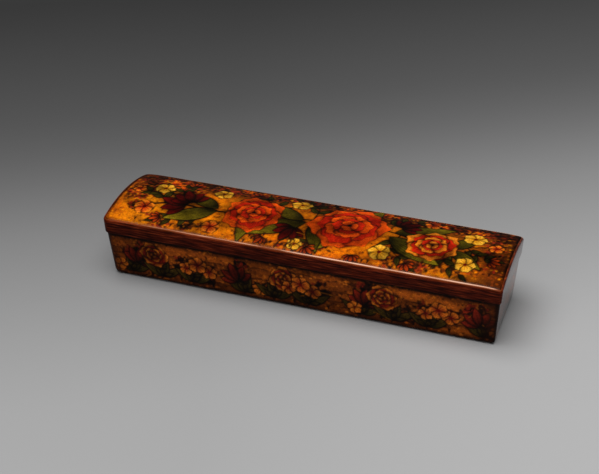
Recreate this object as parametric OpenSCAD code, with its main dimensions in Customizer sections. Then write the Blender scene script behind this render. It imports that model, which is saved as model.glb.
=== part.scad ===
// Pen box with a lift-off vaulted lid, built from thin boards and finished in lacquer.
// Millimetres, +Z up, +X along the box. The origin is the middle of the underside.

/* [Case] */
// Length of the lid over its upper edge
lid_l = 266; // [200:1:320]
// Width of the lid over its upper edge
lid_w = 70; // [58:1:90]
// Height of the base, from the foot to the parting line
base_h = 33.5; // [30:0.5:45]
// How far each long side leans in between the parting line and the foot
side_lean = 4.4; // [0:0.1:6]
// How far each end leans in between the parting line and the foot
end_lean = 2; // [0:0.1:6]
// Radius of the upright corners in plan
corner_r = 4; // [2:0.5:6]
// Thickness of the base walls
wall_t = 4; // [3:0.1:5]
// Thickness of the floor board
floor_t = 4; // [2.5:0.1:6]

/* [Lid] */
// Height of the lid's rim, from the parting line to its upper edge
rim_h = 10; // [8:0.5:14]
// How far the rim leans in along the long sides
rim_side_lean = 0.6; // [0:0.1:1.5]
// How far the rim leans in at the ends
rim_end_lean = 0.5; // [0:0.1:1.5]
// How far the rim stands proud of the base at the parting line
rim_step = 0.8; // [0.2:0.1:1.2]
// Rise of the vault above the rim's upper edge
vault_rise = 5.8; // [3:0.1:9]
// Thickness of the vaulted panel
panel_t = 3; // [2:0.1:4]
// Width of the rim's upper edge that shows around the panel
rim_edge = 1.5; // [1:0.1:2.5]
// Gap around the panel in its rebate
panel_gap = 0.15; // [0.05:0.05:0.3]

/* [Lining] */
// Thickness of the upright lining strips
liner_t = 2; // [1.2:0.1:3]
// How far the lining stands above the parting line, as the tongue that the lid slips over
tongue_h = 5; // [3:0.5:6]
// Gap between the tongue and the lid's rim
tongue_gap = 0.4; // [0.2:0.05:0.8]
// Thickness of the paper that lines the floor
paper_t = 0.6; // [0.3:0.1:1]

/* [Fittings] */
// Gap between the ink pot and the ends of its bay
pot_gap = 2; // [0.5:0.5:6]
// Thickness of the partition
partition_t = 3; // [2:0.5:5]
// Height of the partition above the floor paper
partition_h = 19; // [12:0.5:22]
// Thickness of each pen rest
rest_t = 6; // [4:0.5:10]
// Height of each pen rest above the floor paper
rest_h = 9; // [7:0.5:10]
// Distance between the two pen rests
rest_pitch = 118; // [80:1:140]

/* [Ink pot] */
// Outer radius of the pot
pot_r = 19; // [15:0.5:20]
// Height of the pot
pot_h = 17; // [13:0.5:18]
// Wall of the pot
pot_wall = 1.5; // [1:0.1:2.5]
// Radius of the mouth
mouth_r = 8; // [6:0.5:8.5]
// How far the cover laps over the edge of the mouth
cover_lap = 1.6; // [0.8:0.1:2]
// Thickness of the cover
cover_t = 1.4; // [1:0.1:2]
// Gap under the closed cover
cover_gap = 0.2; // [0.1:0.05:0.4]
// Radius of the hinge pin
pin_r = 0.8; // [0.6:0.05:1]
// Radial clearance of the pin in the cover's knuckle
pin_gap = 0.05; // [0.02:0.01:0.1]

/* [Pens] */
// Length of a reed pen
pen_l = 176; // [150:1:195]
// Radius of a reed pen
pen_r = 3.8; // [3:0.1:4.2]
// Radius of the hollow of the reed
reed_bore_r = 2.3; // [1.6:0.1:2.5]
// Length of the scooped nib
nib_l = 30; // [20:1:40]
// Length of the narrowed point of the nib
point_l = 10; // [6:1:16]
// Width of the point of the nib
point_w = 3; // [1:0.5:4]
// Thickness of the reed at the point
point_t = 0.8; // [0.5:0.1:1.2]
// Length of the slit in the nib
slit_l = 14; // [8:1:18]
// Width of the slit
slit_w = 0.3; // [0.2:0.1:0.6]
// Depth of the hollow from the nib's end
hollow_l = 46; // [40:1:60]
// Distance between neighbouring pens
pen_pitch = 13; // [10:0.5:14]
// Gap between a pen and its notch
pen_gap = 0.3; // [0.2:0.05:0.5]

/* [Hidden] */
$fn = 96;
corner_fn = 32;
// Thickness of the plates that the leaning blocks are hulled from
slice = 0.01;
// A length greater than the whole box, for what is cut across it
beyond = 400;
// How far a cut runs past the face that it opens
over = 1;

// The base's outline at the parting line and at the foot
top_l = lid_l - 2 * (rim_end_lean + rim_step);
top_w = lid_w - 2 * (rim_side_lean + rim_step);
foot_l = top_l - 2 * end_lean;
foot_w = top_w - 2 * side_lean;
end_slope = end_lean / base_h;
side_slope = side_lean / base_h;

// Half-sizes of the space inside the base walls, at height z
function inner_x(z) = top_l / 2 - wall_t - end_slope * (base_h - z);
function inner_y(z) = top_w / 2 - wall_t - side_slope * (base_h - z);

rim_top_z = base_h + rim_h;
rim_end_slope = rim_end_lean / rim_h;
rim_side_slope = rim_side_lean / rim_h;
// How far the rim's sides are run up past its upper edge before the vault cuts them
crown_h = vault_rise + over;
apex_z = rim_top_z + vault_rise;
vault_r = (pow(lid_w / 2, 2) + pow(vault_rise, 2)) / (2 * vault_rise);
vault_axis_z = apex_z - vault_r;
panel_l = lid_l - 2 * rim_edge;
panel_w = lid_w - 2 * rim_edge;
panel_corner_r = corner_r - rim_edge / 2;
rim_inner_x = inner_x(base_h) + tongue_gap;
rim_inner_y = inner_y(base_h) + tongue_gap;

paper_z = floor_t + paper_t;
bay_l = 2 * (pot_r + pot_gap);
bay_x = inner_x(paper_z) - liner_t - bay_l;
partition_x = bay_x - partition_t;
trough_x = -inner_x(paper_z) + liner_t;
trough_mid = (trough_x + partition_x) / 2;

pot_x = bay_x + bay_l / 2;
pot_top_z = paper_z + pot_h;
cover_r = mouth_r + cover_lap;
knuckle_wall = 0.9;
knuckle_r = pin_r + knuckle_wall;
hinge_z = pot_top_z + knuckle_r + cover_gap;
hinge_x = pot_x - cover_r - knuckle_r - cover_gap;
knuckle_w = 6;
ear_w = 2;
ear_gap = 0.2;
press_gap = 0.01;
pin_l = knuckle_w + 2 * (ear_gap + ear_w);

pen_z = paper_z + rest_h;
pen_x = trough_mid;
scoop_r = (pow(nib_l, 2) + pow(2 * pen_r - point_t, 2)) / (2 * (2 * pen_r - point_t));

lacquer_brown = [0.27, 0.09, 0.05];
lacquer_amber = [0.80, 0.42, 0.08];
lining_red = [0.42, 0.10, 0.06];
paper_buff = [0.72, 0.52, 0.28];
brass = [0.72, 0.53, 0.25];
reed = [0.58, 0.36, 0.16];

// A plate with rounded corners, standing on z
module rounded_plate(l, w, r, h) {
    linear_extrude(h) union() {
        square([l - 2 * r, w], center = true);
        square([l, w - 2 * r], center = true);
        for (x = [-1, 1], y = [-1, 1])
            translate([x * (l / 2 - r), y * (w / 2 - r)]) circle(r);
    }
}

// A block with rounded upright corners whose sides lean between two outlines
module leaning_block(l0, w0, z0, l1, w1, z1) {
    hull() {
        translate([0, 0, z0]) rounded_plate(l0, w0, corner_r, slice, $fn = corner_fn);
        translate([0, 0, z1 - slice]) rounded_plate(l1, w1, corner_r, slice, $fn = corner_fn);
    }
}

// The whole outside of the base
module base_outside() {
    leaning_block(foot_l, foot_w, 0, top_l, top_w, base_h);
}

// The whole outside of the lid, with its vaulted top
module lid_outside() {
    intersection() {
        leaning_block(lid_l - 2 * rim_end_lean, lid_w - 2 * rim_side_lean, base_h,
                      lid_l + 2 * rim_end_slope * crown_h, lid_w + 2 * rim_side_slope * crown_h,
                      rim_top_z + crown_h);
        vault(vault_r);
    }
}

// A cylinder along the box that gives the vault its curve
module vault(r) {
    translate([-beyond / 2, 0, vault_axis_z]) rotate([0, 90, 0]) cylinder(r = r, h = beyond, $fn = 360);
}

// The space between the long walls, run past both ends; out is how far it is widened
module between_sides(out, z0, z1) {
    rotate([90, 0, 90]) linear_extrude(beyond, center = true)
        polygon([[-inner_y(z0) - out, z0], [inner_y(z0) + out, z0],
                 [inner_y(z1) + out, z1], [-inner_y(z1) - out, z1]]);
}

// The space between the end walls, run past both sides; out is how far it is widened
module between_ends(out, z0, z1) {
    rotate([90, 0, 0]) linear_extrude(beyond, center = true)
        polygon([[-inner_x(z0) - out, z0], [inner_x(z0) + out, z0],
                 [inner_x(z1) + out, z1], [-inner_x(z1) - out, z1]]);
}

// Everything on one side of a plane across the origin: axis 0 is X, 1 is Y
module half_space(axis, side) {
    shift = side * beyond / 2;
    translate([axis == 0 ? shift : 0, axis == 1 ? shift : 0, 0]) cube(beyond, center = true);
}

// A long wall of the base
module long_wall(side) {
    color(lacquer_brown) intersection() {
        difference() {
            base_outside();
            between_sides(0, -over, base_h + over);
        }
        half_space(1, side);
    }
}

// An end wall of the base, fitted between the long walls
module end_wall(side) {
    color(lacquer_brown) intersection() {
        difference() {
            intersection() {
                base_outside();
                between_sides(0, 0, base_h);
            }
            between_ends(0, -over, base_h + over);
        }
        half_space(0, side);
    }
}

// The floor board, let in between the four walls
module base_floor() {
    color(lacquer_brown) intersection() {
        between_sides(0, 0, floor_t);
        between_ends(0, 0, floor_t);
    }
}

// Section of a lining strip: foot and top are its back's distances from the middle, at the floor
// and at the parting line
function lining_section(foot, top) = [
    [foot, floor_t], [top, base_h], [top, base_h + tongue_h],
    [top - liner_t, base_h + tongue_h], [top - liner_t, base_h], [foot - liner_t, floor_t]];

// The lining along a long side, with the tongue above the parting line
module long_lining(side) {
    color(lining_red) intersection() {
        mirror([0, side < 0 ? 1 : 0, 0]) rotate([90, 0, 90]) linear_extrude(beyond, center = true)
            polygon(lining_section(inner_y(floor_t), inner_y(base_h)));
        union() {
            between_ends(0, floor_t, base_h);
            translate([-inner_x(base_h), -beyond / 2, base_h]) cube([2 * inner_x(base_h), beyond, tongue_h]);
        }
    }
}

// The lining across an end, fitted between the long linings
module end_lining(side) {
    color(lining_red) intersection() {
        mirror([side < 0 ? 1 : 0, 0, 0]) rotate([90, 0, 0]) linear_extrude(beyond, center = true)
            polygon(lining_section(inner_x(floor_t), inner_x(base_h)));
        union() {
            between_sides(-liner_t, floor_t, base_h);
            translate([-beyond / 2, -inner_y(base_h) + liner_t, base_h])
                cube([beyond, 2 * (inner_y(base_h) - liner_t), tongue_h]);
        }
    }
}

// The paper pasted over the floor, inside the lining
module floor_paper() {
    color(paper_buff) intersection() {
        between_sides(-liner_t, floor_t, paper_z);
        between_ends(-liner_t, floor_t, paper_z);
    }
}

// A board across the box between the linings
module cross_board(x, t, h) {
    intersection() {
        between_sides(-liner_t, paper_z, paper_z + h);
        translate([x, -beyond / 2, paper_z]) cube([t, beyond, h]);
    }
}

// The partition between the pen trough and the ink bay
module partition() {
    color(lining_red) cross_board(partition_x, partition_t, partition_h);
}

// A notched bar that carries the pens
module pen_rest(side) {
    color(lining_red) difference() {
        cross_board(trough_mid + side * rest_pitch / 2 - rest_t / 2, rest_t, rest_h);
        for (i = [-1, 0, 1])
            translate([trough_mid, i * pen_pitch, pen_z]) rotate([0, 90, 0])
                cylinder(r = pen_r + pen_gap, h = beyond, center = true);
    }
}

// The upright outline of the panel, with a chosen allowance around its edge
module panel_outline(out) {
    translate([0, 0, base_h])
        rounded_plate(panel_l + 2 * out, panel_w + 2 * out, panel_corner_r + out, rim_h + vault_rise + over);
}

// The vaulted panel, let into the rim with a gap around its edge
module lid_panel() {
    color(lacquer_amber) intersection() {
        difference() {
            vault(vault_r);
            vault(vault_r - panel_t);
        }
        panel_outline(-panel_gap);
    }
}

// What is cut from the rim for the panel, open at the top
module panel_rebate() {
    difference() {
        panel_outline(0);
        vault(vault_r - panel_t);
    }
}

// A long strip of the lid's rim, rebated for the panel
module long_rim(side) {
    color(lacquer_brown) intersection() {
        difference() {
            lid_outside();
            translate([-beyond / 2, -rim_inner_y, 0]) cube([beyond, 2 * rim_inner_y, beyond]);
            panel_rebate();
        }
        half_space(1, side);
    }
}

// An end board of the lid's rim, arched to the vault and rebated for the panel
module end_rim(side) {
    color(lacquer_brown) intersection() {
        difference() {
            lid_outside();
            translate([-rim_inner_x, -beyond / 2, 0]) cube([2 * rim_inner_x, beyond, beyond]);
            panel_rebate();
        }
        translate([side * beyond / 2, 0, 0]) cube([beyond, 2 * rim_inner_y, beyond], center = true);
    }
}

// The round pot, with two ears on top for the hinge pin
module ink_pot() {
    color(brass) {
        difference() {
            union() {
                translate([pot_x, 0, paper_z]) cylinder(r = pot_r, h = pot_h);
                for (y = [-1, 1])
                    translate([hinge_x, y * (knuckle_w / 2 + ear_gap + ear_w / 2), 0]) hinge_ear();
            }
            translate([pot_x, 0, paper_z + pot_wall])
                cylinder(r = pot_r - pot_wall, h = pot_h - 2 * pot_wall);
            translate([pot_x, 0, paper_z + pot_wall]) cylinder(r = mouth_r, h = pot_h);
            translate([hinge_x, 0, hinge_z]) rotate([90, 0, 0])
                cylinder(r = pin_r + press_gap, h = beyond, center = true);
        }
    }
}

// One ear of the pot's hinge
module hinge_ear() {
    translate([0, 0, hinge_z]) rotate([90, 0, 0]) cylinder(r = knuckle_r, h = ear_w, center = true);
    translate([-knuckle_r, -ear_w / 2, pot_top_z - pot_wall / 2])
        cube([2 * knuckle_r, ear_w, hinge_z - pot_top_z + pot_wall / 2]);
}

// The cover of the pot, with the knuckle that turns on the pin
module ink_cover() {
    color(brass) difference() {
        union() {
            translate([pot_x, 0, pot_top_z + cover_gap]) cylinder(r = cover_r, h = cover_t);
            translate([hinge_x, -knuckle_w / 2, pot_top_z + cover_gap])
                cube([pot_x - hinge_x, knuckle_w, cover_t]);
            translate([hinge_x, 0, hinge_z]) rotate([90, 0, 0])
                cylinder(r = knuckle_r, h = knuckle_w, center = true);
        }
        translate([hinge_x, 0, hinge_z]) rotate([90, 0, 0])
            cylinder(r = pin_r + pin_gap, h = beyond, center = true);
    }
}

// The hinge pin, held tight in the pot's ears
module ink_hinge_pin() {
    color(brass) translate([hinge_x, 0, hinge_z]) rotate([90, 0, 0])
        cylinder(r = pin_r, h = pin_l, center = true);
}

// A reed pen in its notches, with its nib towards the left-hand end
module reed_pen(place) {
    color(reed) translate([pen_x - pen_l / 2, place * pen_pitch, pen_z]) difference() {
        rotate([0, 90, 0]) cylinder(r = pen_r, h = pen_l);
        translate([-over, 0, 0]) rotate([0, 90, 0]) cylinder(r = reed_bore_r, h = hollow_l + over);
        translate([0, 0, scoop_r - pen_r + point_t]) rotate([90, 0, 0])
            cylinder(r = scoop_r, h = beyond, center = true);
        translate([-over, -slit_w / 2, -pen_r - over]) cube([slit_l + over, slit_w, 2 * (pen_r + over)]);
        for (side = [0, 1])
            mirror([0, side, 0]) translate([-over, point_w / 2, -pen_r - over])
                cube([point_l + over, pen_r, 2 * (pen_r + over)]);
    }
}

base_floor();
long_wall(-1);  // base_front_wall
long_wall(1);  // base_back_wall
end_wall(-1);  // base_left_end
end_wall(1);  // base_right_end
long_lining(-1);  // front_lining
long_lining(1);  // back_lining
end_lining(-1);  // left_lining
end_lining(1);  // right_lining
floor_paper();
partition();
pen_rest(-1);  // left_pen_rest
pen_rest(1);  // right_pen_rest
lid_panel();
long_rim(-1);  // lid_front_rim
long_rim(1);  // lid_back_rim
end_rim(-1);  // lid_left_rim
end_rim(1);  // lid_right_rim
ink_pot();
ink_cover();
ink_hinge_pin();
reed_pen(-1);  // reed_pen_front
reed_pen(0);  // reed_pen_middle
reed_pen(1);  // reed_pen_back
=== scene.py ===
"""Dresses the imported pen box: painted lacquer case, vaulted lid, lining, ink pot and reed pens.

Lengths of meshes are in metres. The painter works in millimetres on flat sheets, whose colours are then
carried to the vertices of the painted boards.
"""

import logging
import math
from abc import ABC, abstractmethod
from dataclasses import dataclass
from enum import Enum
from typing import Sequence

import bmesh
import bpy
import numpy as np
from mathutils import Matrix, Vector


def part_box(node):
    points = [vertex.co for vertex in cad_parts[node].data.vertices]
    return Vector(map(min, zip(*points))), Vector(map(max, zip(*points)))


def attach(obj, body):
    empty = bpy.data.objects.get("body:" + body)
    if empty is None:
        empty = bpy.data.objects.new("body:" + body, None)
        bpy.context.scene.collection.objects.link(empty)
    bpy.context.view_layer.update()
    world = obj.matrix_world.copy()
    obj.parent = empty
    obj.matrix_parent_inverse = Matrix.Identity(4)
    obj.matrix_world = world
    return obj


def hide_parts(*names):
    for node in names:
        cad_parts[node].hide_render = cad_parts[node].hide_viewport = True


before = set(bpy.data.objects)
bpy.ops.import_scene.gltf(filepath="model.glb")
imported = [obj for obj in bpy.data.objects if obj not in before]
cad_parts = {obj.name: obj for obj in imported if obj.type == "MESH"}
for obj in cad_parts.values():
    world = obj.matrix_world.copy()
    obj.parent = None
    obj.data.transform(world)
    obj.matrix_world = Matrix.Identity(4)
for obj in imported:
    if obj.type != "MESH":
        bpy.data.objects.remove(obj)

Pair = tuple[float, float]
Triple = tuple[float, float, float]
Quad = tuple[float, float, float, float]
Window = tuple[slice, slice]
Mesh = bmesh.types.BMesh
Piece = bpy.types.Object
Socket = bpy.types.NodeSocket

LOG = logging.getLogger("pen_box")
MM = 0.001
# What vertices carry: the painter's colours, and how worn they are, which along the lid rim's arris is also a
# painted highlight
PAINT = "paint"
WEAR_AND_HIGHLIGHT = "wear"
# The values that soft noise mostly has, and a whole share
MIDDLE = (0.3, 0.7)
FULL = (0.0, 1.0)
# Height of the parting line, and radii from the front left corner round to the back left, in millimetres
PARTING_Z = 33.5
CORNERS = (4.5, 2.0, 4.5, 4.5)
# Width of the rim's upper edge that is seen around the panel
RIM_EDGE = 1.5


class Pigment(Enum):
    """Colours of the paints and grounds, as they look under a plain light (sRGB, 0 to 255)."""

    AMBER = (212, 93, 2)
    HONEY = (238, 134, 5)
    OLIVE_GOLD = (172, 112, 8)
    RUSSET = (124, 50, 8)
    UMBER = (44, 16, 5)
    SOOT = (12, 5, 3)
    VERMILION = (206, 36, 8)
    CRIMSON = (92, 8, 4)
    CORAL = (242, 84, 8)
    PEACH = (248, 136, 26)
    CREAM = (250, 186, 54)
    SAFFRON = (236, 148, 14)
    MOSS = (88, 76, 10)
    PINE = (34, 30, 6)
    SAGE = (134, 112, 14)
    WALNUT = (100, 42, 14)
    TAN = (194, 93, 21)
    BISTRE = (62, 26, 8)
    MADDER = (150, 38, 16)
    DIM_OCHRE = (236, 124, 31)
    DIM_LEAF = (98, 70, 18)
    LINING = (118, 30, 17)

    @property
    def linear(self) -> np.ndarray:
        """The colour in linear light."""
        return to_linear(self.value)


def to_linear(colour: Sequence[float]) -> np.ndarray:
    """Turns a screen colour, 0 to 255, into linear light, 0 to 1."""
    c = np.asarray(colour, dtype=float) / 255.0
    return np.where(c <= 0.04045, c / 12.92, ((c + 0.055) / 1.055) ** 2.4)


def rgba(colour: Sequence[float]) -> Quad:
    """Gives a screen colour as an opaque linear colour for a shader socket."""
    r, g, b = to_linear(colour)
    return float(r), float(g), float(b), 1.0


def put(name: str, data: bpy.types.ID) -> Piece:
    """Sets an object into the scene.

    Args:
        name: Its name.
        data: Its mesh, lamp or camera.

    Returns:
        The object.
    """
    made = bpy.data.objects.new(name, data)
    bpy.context.scene.collection.objects.link(made)
    return made


def smooth(low: float, high: float, value: np.ndarray) -> np.ndarray:
    """Grades values smoothly from 0 at low to 1 at high, which may lie under low."""
    t = np.clip((value - low) / (high - low), 0.0, 1.0)
    return t * t * (3.0 - 2.0 * t)


# The painter's sheets and strokes


class Canvas:
    """A flat sheet of paint over one face, in millimetres.

    Attributes:
        SOFTNESS: Width of a stroke's soft edge, in points of the sheet.
        MARGIN: Room that is kept around a stroke.
        NO_LENGTH: Least square of the length that a step of a stroke counts as.
        DOT_RUN: Length of the short stroke that makes a dot.
        END_GAP: Taken off the count of points, so that the last place that is read has one beyond it.
    """

    SOFTNESS = 1.1
    MARGIN = 1.0
    NO_LENGTH = 1e-9
    DOT_RUN = 0.02
    END_GAP = 1.001

    def __init__(self, box: Quad, pitch: float, seed: int) -> None:
        """Lays out the sheet.

        Args:
            box: Left, lower, right and upper edge.
            pitch: Distance between neighbouring points of the sheet.
            seed: Start of the sheet's own chance.
        """
        left, low, right, high = box
        self.pitch = pitch
        self.soft = self.SOFTNESS * pitch
        self.u = np.arange(left, right + pitch, pitch)
        self.v = np.arange(low, high + pitch, pitch)
        self.rgb = np.zeros((len(self.v), len(self.u), 3))
        self.rng = np.random.default_rng(seed)

    @property
    def span(self) -> tuple[Pair, Pair]:
        """The sheet's lower left and upper right corner."""
        return (self.u[0], self.v[0]), (self.u[-1], self.v[-1])

    def chance(self, least: float, more: float) -> float:
        """A value that is least, with up to so much more by chance."""
        return least + more * self.rng.random()

    def marks(self, room: float) -> int:
        """How many marks the sheet takes, where each has so many square millimetres."""
        low, high = self.span
        return round((high[0] - low[0]) * (high[1] - low[1]) / room)

    def grid(self) -> tuple[np.ndarray, np.ndarray]:
        """The two coordinates of every point of the sheet."""
        u, v = np.meshgrid(self.u, self.v)
        return u, v

    def patch(self, low: np.ndarray, high: np.ndarray) -> tuple[Window, np.ndarray, np.ndarray]:
        """Cuts a window out of the sheet.

        Args:
            low: Its lower left corner.
            high: Its upper right corner.

        Returns:
            The window's place in the sheet and its two coordinates.
        """
        i0, i1 = np.searchsorted(self.u, (low[0], high[0]))
        j0, j1 = np.searchsorted(self.v, (low[1], high[1]))
        u, v = np.meshgrid(self.u[i0:i1], self.v[j0:j1])
        return (slice(j0, j1), slice(i0, i1)), u, v

    def lay(self, where: Window, colour: np.ndarray, cover: np.ndarray) -> None:
        """Lays one colour, or one for each point, over a window; cover says how much it hides, 0 to 1."""
        part = self.rgb[where]
        self.rgb[where] = part + (colour - part) * cover[..., None]

    def wash(self, pigment: Pigment, cover: np.ndarray) -> None:
        """Lays one paint over the whole sheet; cover says how much it hides at each point."""
        self.lay((slice(None), slice(None)), pigment.linear, cover)

    def cloud(self, cell_u: float, cell_v: float, layers: int = 3) -> np.ndarray:
        """Makes soft uneven tone over the whole sheet.

        Args:
            cell_u: Size of the largest spots along the sheet.
            cell_v: Their size across it.
            layers: How many times finer spots are added.

        Returns:
            Values from about 0 to 1.
        """
        total = np.zeros(self.rgb.shape[:2])
        weight = 0.0
        for layer in range(layers):
            step_u, step_v = cell_u / 2**layer, cell_v / 2**layer
            a = (self.u - self.u[0]) / step_u
            b = (self.v - self.v[0]) / step_v
            knots = self.rng.random((int(b[-1]) + 2, int(a[-1]) + 2))
            i, j = a.astype(int), b.astype(int)
            fa = smooth(0, 1, a - i)
            fb = smooth(0, 1, b - j)[:, None]
            rows = knots[:, i] * (1 - fa) + knots[:, i + 1] * fa
            total += (rows[j] * (1 - fb) + rows[j + 1] * fb) / 2**layer
            weight += 1 / 2**layer
        return total / weight

    def stroke(self, path: np.ndarray, start: float, end: float, pigment: Pigment,
               cover: float = 1.0) -> None:
        """Draws one line of the brush.

        Args:
            path: Points along the line.
            start: Width at its start.
            end: Width at its end.
            pigment: Its paint.
            cover: How much it hides.
        """
        margin = max(start, end) + self.MARGIN
        where, u, v = self.patch(path.min(0) - margin, path.max(0) + margin)
        best = np.full(u.shape, np.inf)
        widths = np.linspace(start, end, len(path)) / 2
        for p, q, w in zip(path[:-1], path[1:], widths):
            d = q - p
            t = np.clip(((u - p[0]) * d[0] + (v - p[1]) * d[1]) / max(d @ d, self.NO_LENGTH), 0, 1)
            best = np.minimum(best, np.hypot(u - p[0] - t * d[0], v - p[1] - t * d[1]) - w)
        self.lay(where, pigment.linear, cover * np.clip(0.5 - best / self.soft, 0, 1))

    def dot(self, place: Sequence[float], size: float, pigment: Pigment, cover: float = 1.0) -> None:
        """Sets one dot of the brush, of so much width, at a place; cover says how much it hides."""
        self.stroke(np.array([place, np.add(place, self.DOT_RUN)]), size, size, pigment, cover)

    def at(self, u: np.ndarray, v: np.ndarray) -> np.ndarray:
        """Reads the sheet's colours.

        Args:
            u: Places along the sheet.
            v: Places across it.

        Returns:
            One colour for each place.
        """
        a = np.clip((u - self.u[0]) / self.pitch, 0, len(self.u) - self.END_GAP)
        b = np.clip((v - self.v[0]) / self.pitch, 0, len(self.v) - self.END_GAP)
        i, j = a.astype(int), b.astype(int)
        fa, fb = (a - i)[:, None], (b - j)[:, None]
        near = self.rgb[j, i] * (1 - fa) + self.rgb[j, i + 1] * fa
        far = self.rgb[j + 1, i] * (1 - fa) + self.rgb[j + 1, i + 1] * fa
        return near * (1 - fb) + far * fb


def curve(*knots: Pair, steps: int = 10) -> np.ndarray:
    """Runs a smooth line through its knots.

    Args:
        knots: The points that the line passes through.
        steps: Points between neighbouring knots.

    Returns:
        The line's points.
    """
    before, after = 2 * np.array(knots[0]) - knots[1], 2 * np.array(knots[-1]) - knots[-2]
    k = np.array([before, *knots, after], dtype=float)
    points = []
    for a, b, c, d in zip(k[:-3], k[1:-2], k[2:-1], k[3:]):
        for t in np.arange(steps) / steps:
            bow = (2 * a - 5 * b + 4 * c - d) + t * (3 * (b - c) + d - a)
            points.append(b + t * ((c - a) + t * bow) / 2)
    return np.array([*points, k[-2]])


@dataclass(frozen=True)
class Blade:
    """One petal or leaf, painted from its root to its tip with a drawn outline.

    Attributes:
        root: Where it starts.
        angle: Its direction in degrees.
        length: From root to tip.
        width: Across its widest part.
        inner: Paint at the root.
        outer: Paint at the tip.
        line: Paint of the veins and the outline.
        pointed: 0 for a round petal, 1 for a pointed leaf.
        veins: How many veins it has.
        vein_cover: How much they hide.
        bend: How far the tip turns aside, in lengths.
        ruffle: How far the tip is waved, in lengths.
        halo: How dark the shade around it is.
        cover: How much the whole blade hides.
        OUTLINE_W: Half the width of the outline, in millimetres.
        OUTLINE_IN: How far inside the edge it is drawn.
        OUTLINE_COVER: How much it hides.
        VEIN_W: Half the width of a vein.
        VEIN_PEAK: How full its middle is; over 1, it is flat there.
        VEIN_ROOT: Where along the blade the veins begin, and where they are full.
        VEIN_TIP: Where they end, and where they begin to fade.
        RIB_W: Half the width of a leaf's middle rib.
        RIB_RUN: Where along the leaf it starts and ends.
        RIB_COVER: How much it hides.
        RIBBED: How pointed a blade is that has a rib.
        HALO_W: Width of the shade around the blade.
        LEAST_HALF: The least that half its width counts as.
        RUFFLES: Waves of a ruffled tip.
        PETAL_SIDE: Skew and bluntness of a petal's side.
        LEAF_SIDE: The same of a leaf's side.
        TIP_SKEW: How late the tip's paint takes over.
        TIP_SIDE: How much further it comes down on one side.
    """

    root: Pair
    angle: float
    length: float
    width: float
    inner: Pigment
    outer: Pigment
    line: Pigment = Pigment.SOOT
    pointed: float = 0.0
    veins: int = 0
    vein_cover: float = 0.55
    bend: float = 0.0
    ruffle: float = 0.0
    halo: float = 0.0
    cover: float = 1.0

    OUTLINE_W = 0.58
    OUTLINE_IN = 0.1
    OUTLINE_COVER = 0.95
    VEIN_W = 0.42
    VEIN_PEAK = 1.4
    VEIN_ROOT = (0.02, 0.15)
    VEIN_TIP = (0.98, 0.55)
    RIB_W = 0.4
    RIB_RUN = (0.02, 0.9)
    RIB_COVER = 0.7
    RIBBED = 0.5
    HALO_W = 2.0
    LEAST_HALF = 0.2
    RUFFLES = 14
    PETAL_SIDE = (1.35, 0.62)
    LEAF_SIDE = (0.72, 1.15)
    TIP_SKEW = 1.25
    TIP_SIDE = 0.16

    def half_width(self, t: np.ndarray) -> np.ndarray:
        """Half the width at places from the root, 0, to the tip, 1; a leaf is widest towards its root."""
        petal, leaf = (np.sin(np.pi * t**skew) ** blunt for skew, blunt in (self.PETAL_SIDE, self.LEAF_SIDE))
        return self.width / 2 * (petal * (1 - self.pointed) + leaf * self.pointed)

    def paint(self, canvas: Canvas) -> None:
        """Paints the shade around the blade, its body, its veins and its outline.

        Args:
            canvas: The sheet to paint on.
        """
        c, s = math.cos(math.radians(self.angle)), math.sin(math.radians(self.angle))
        root = np.array(self.root)
        reach = self.length + self.width
        where, u, v = canvas.patch(root - reach, root + reach)
        if u.size == 0:
            return
        along = ((u - root[0]) * c + (v - root[1]) * s) / self.length
        across = (v - root[1]) * c - (u - root[0]) * s
        wave = np.sin(self.RUFFLES * across / self.width + self.angle)
        along = along + self.ruffle * wave * np.clip(along, 0, 1) ** 3
        t = np.clip(along, 0, 1)
        across = across - self.bend * self.length * t * t
        half = self.half_width(t)
        gap = np.hypot(np.maximum(np.abs(across) - half, 0), (along - t) * self.length)
        gap = np.where(gap > 0, gap, np.abs(across) - half)
        if self.halo:
            canvas.lay(where, Pigment.SOOT.linear, self.halo * smooth(self.HALO_W, 0.0, gap))
        side = across / np.maximum(half, self.LEAST_HALF)
        tone = np.clip(t**self.TIP_SKEW + self.TIP_SIDE * side, 0, 1)[..., None]
        colour = self.inner.linear * (1 - tone) + self.outer.linear * tone
        canvas.lay(where, colour, self.cover * np.clip(0.5 - gap / canvas.soft, 0, 1))
        inside = gap < 0
        if self.veins:
            turn = (side * 0.5 + 0.5) * self.veins
            off = np.abs(turn - np.floor(turn) - 0.5) * 2 * half / self.veins
            fade = smooth(*self.VEIN_ROOT, t) * smooth(*self.VEIN_TIP, t) * inside
            vein = np.clip(self.VEIN_PEAK - self.VEIN_PEAK * off / self.VEIN_W, 0, 1)
            canvas.lay(where, self.line.linear, self.vein_cover * self.cover * fade * vein)
        if self.pointed > self.RIBBED:
            start, end = self.RIB_RUN
            rib = np.clip(1 - np.abs(across) / self.RIB_W, 0, 1) * (t > start) * (t < end) * inside
            canvas.lay(where, self.line.linear, self.RIB_COVER * self.cover * rib)
        edge = np.clip(2.0 - 2.0 * np.abs(gap + self.OUTLINE_IN) / self.OUTLINE_W, 0, 1)
        canvas.lay(where, self.line.linear, self.OUTLINE_COVER * self.cover * edge)


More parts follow.
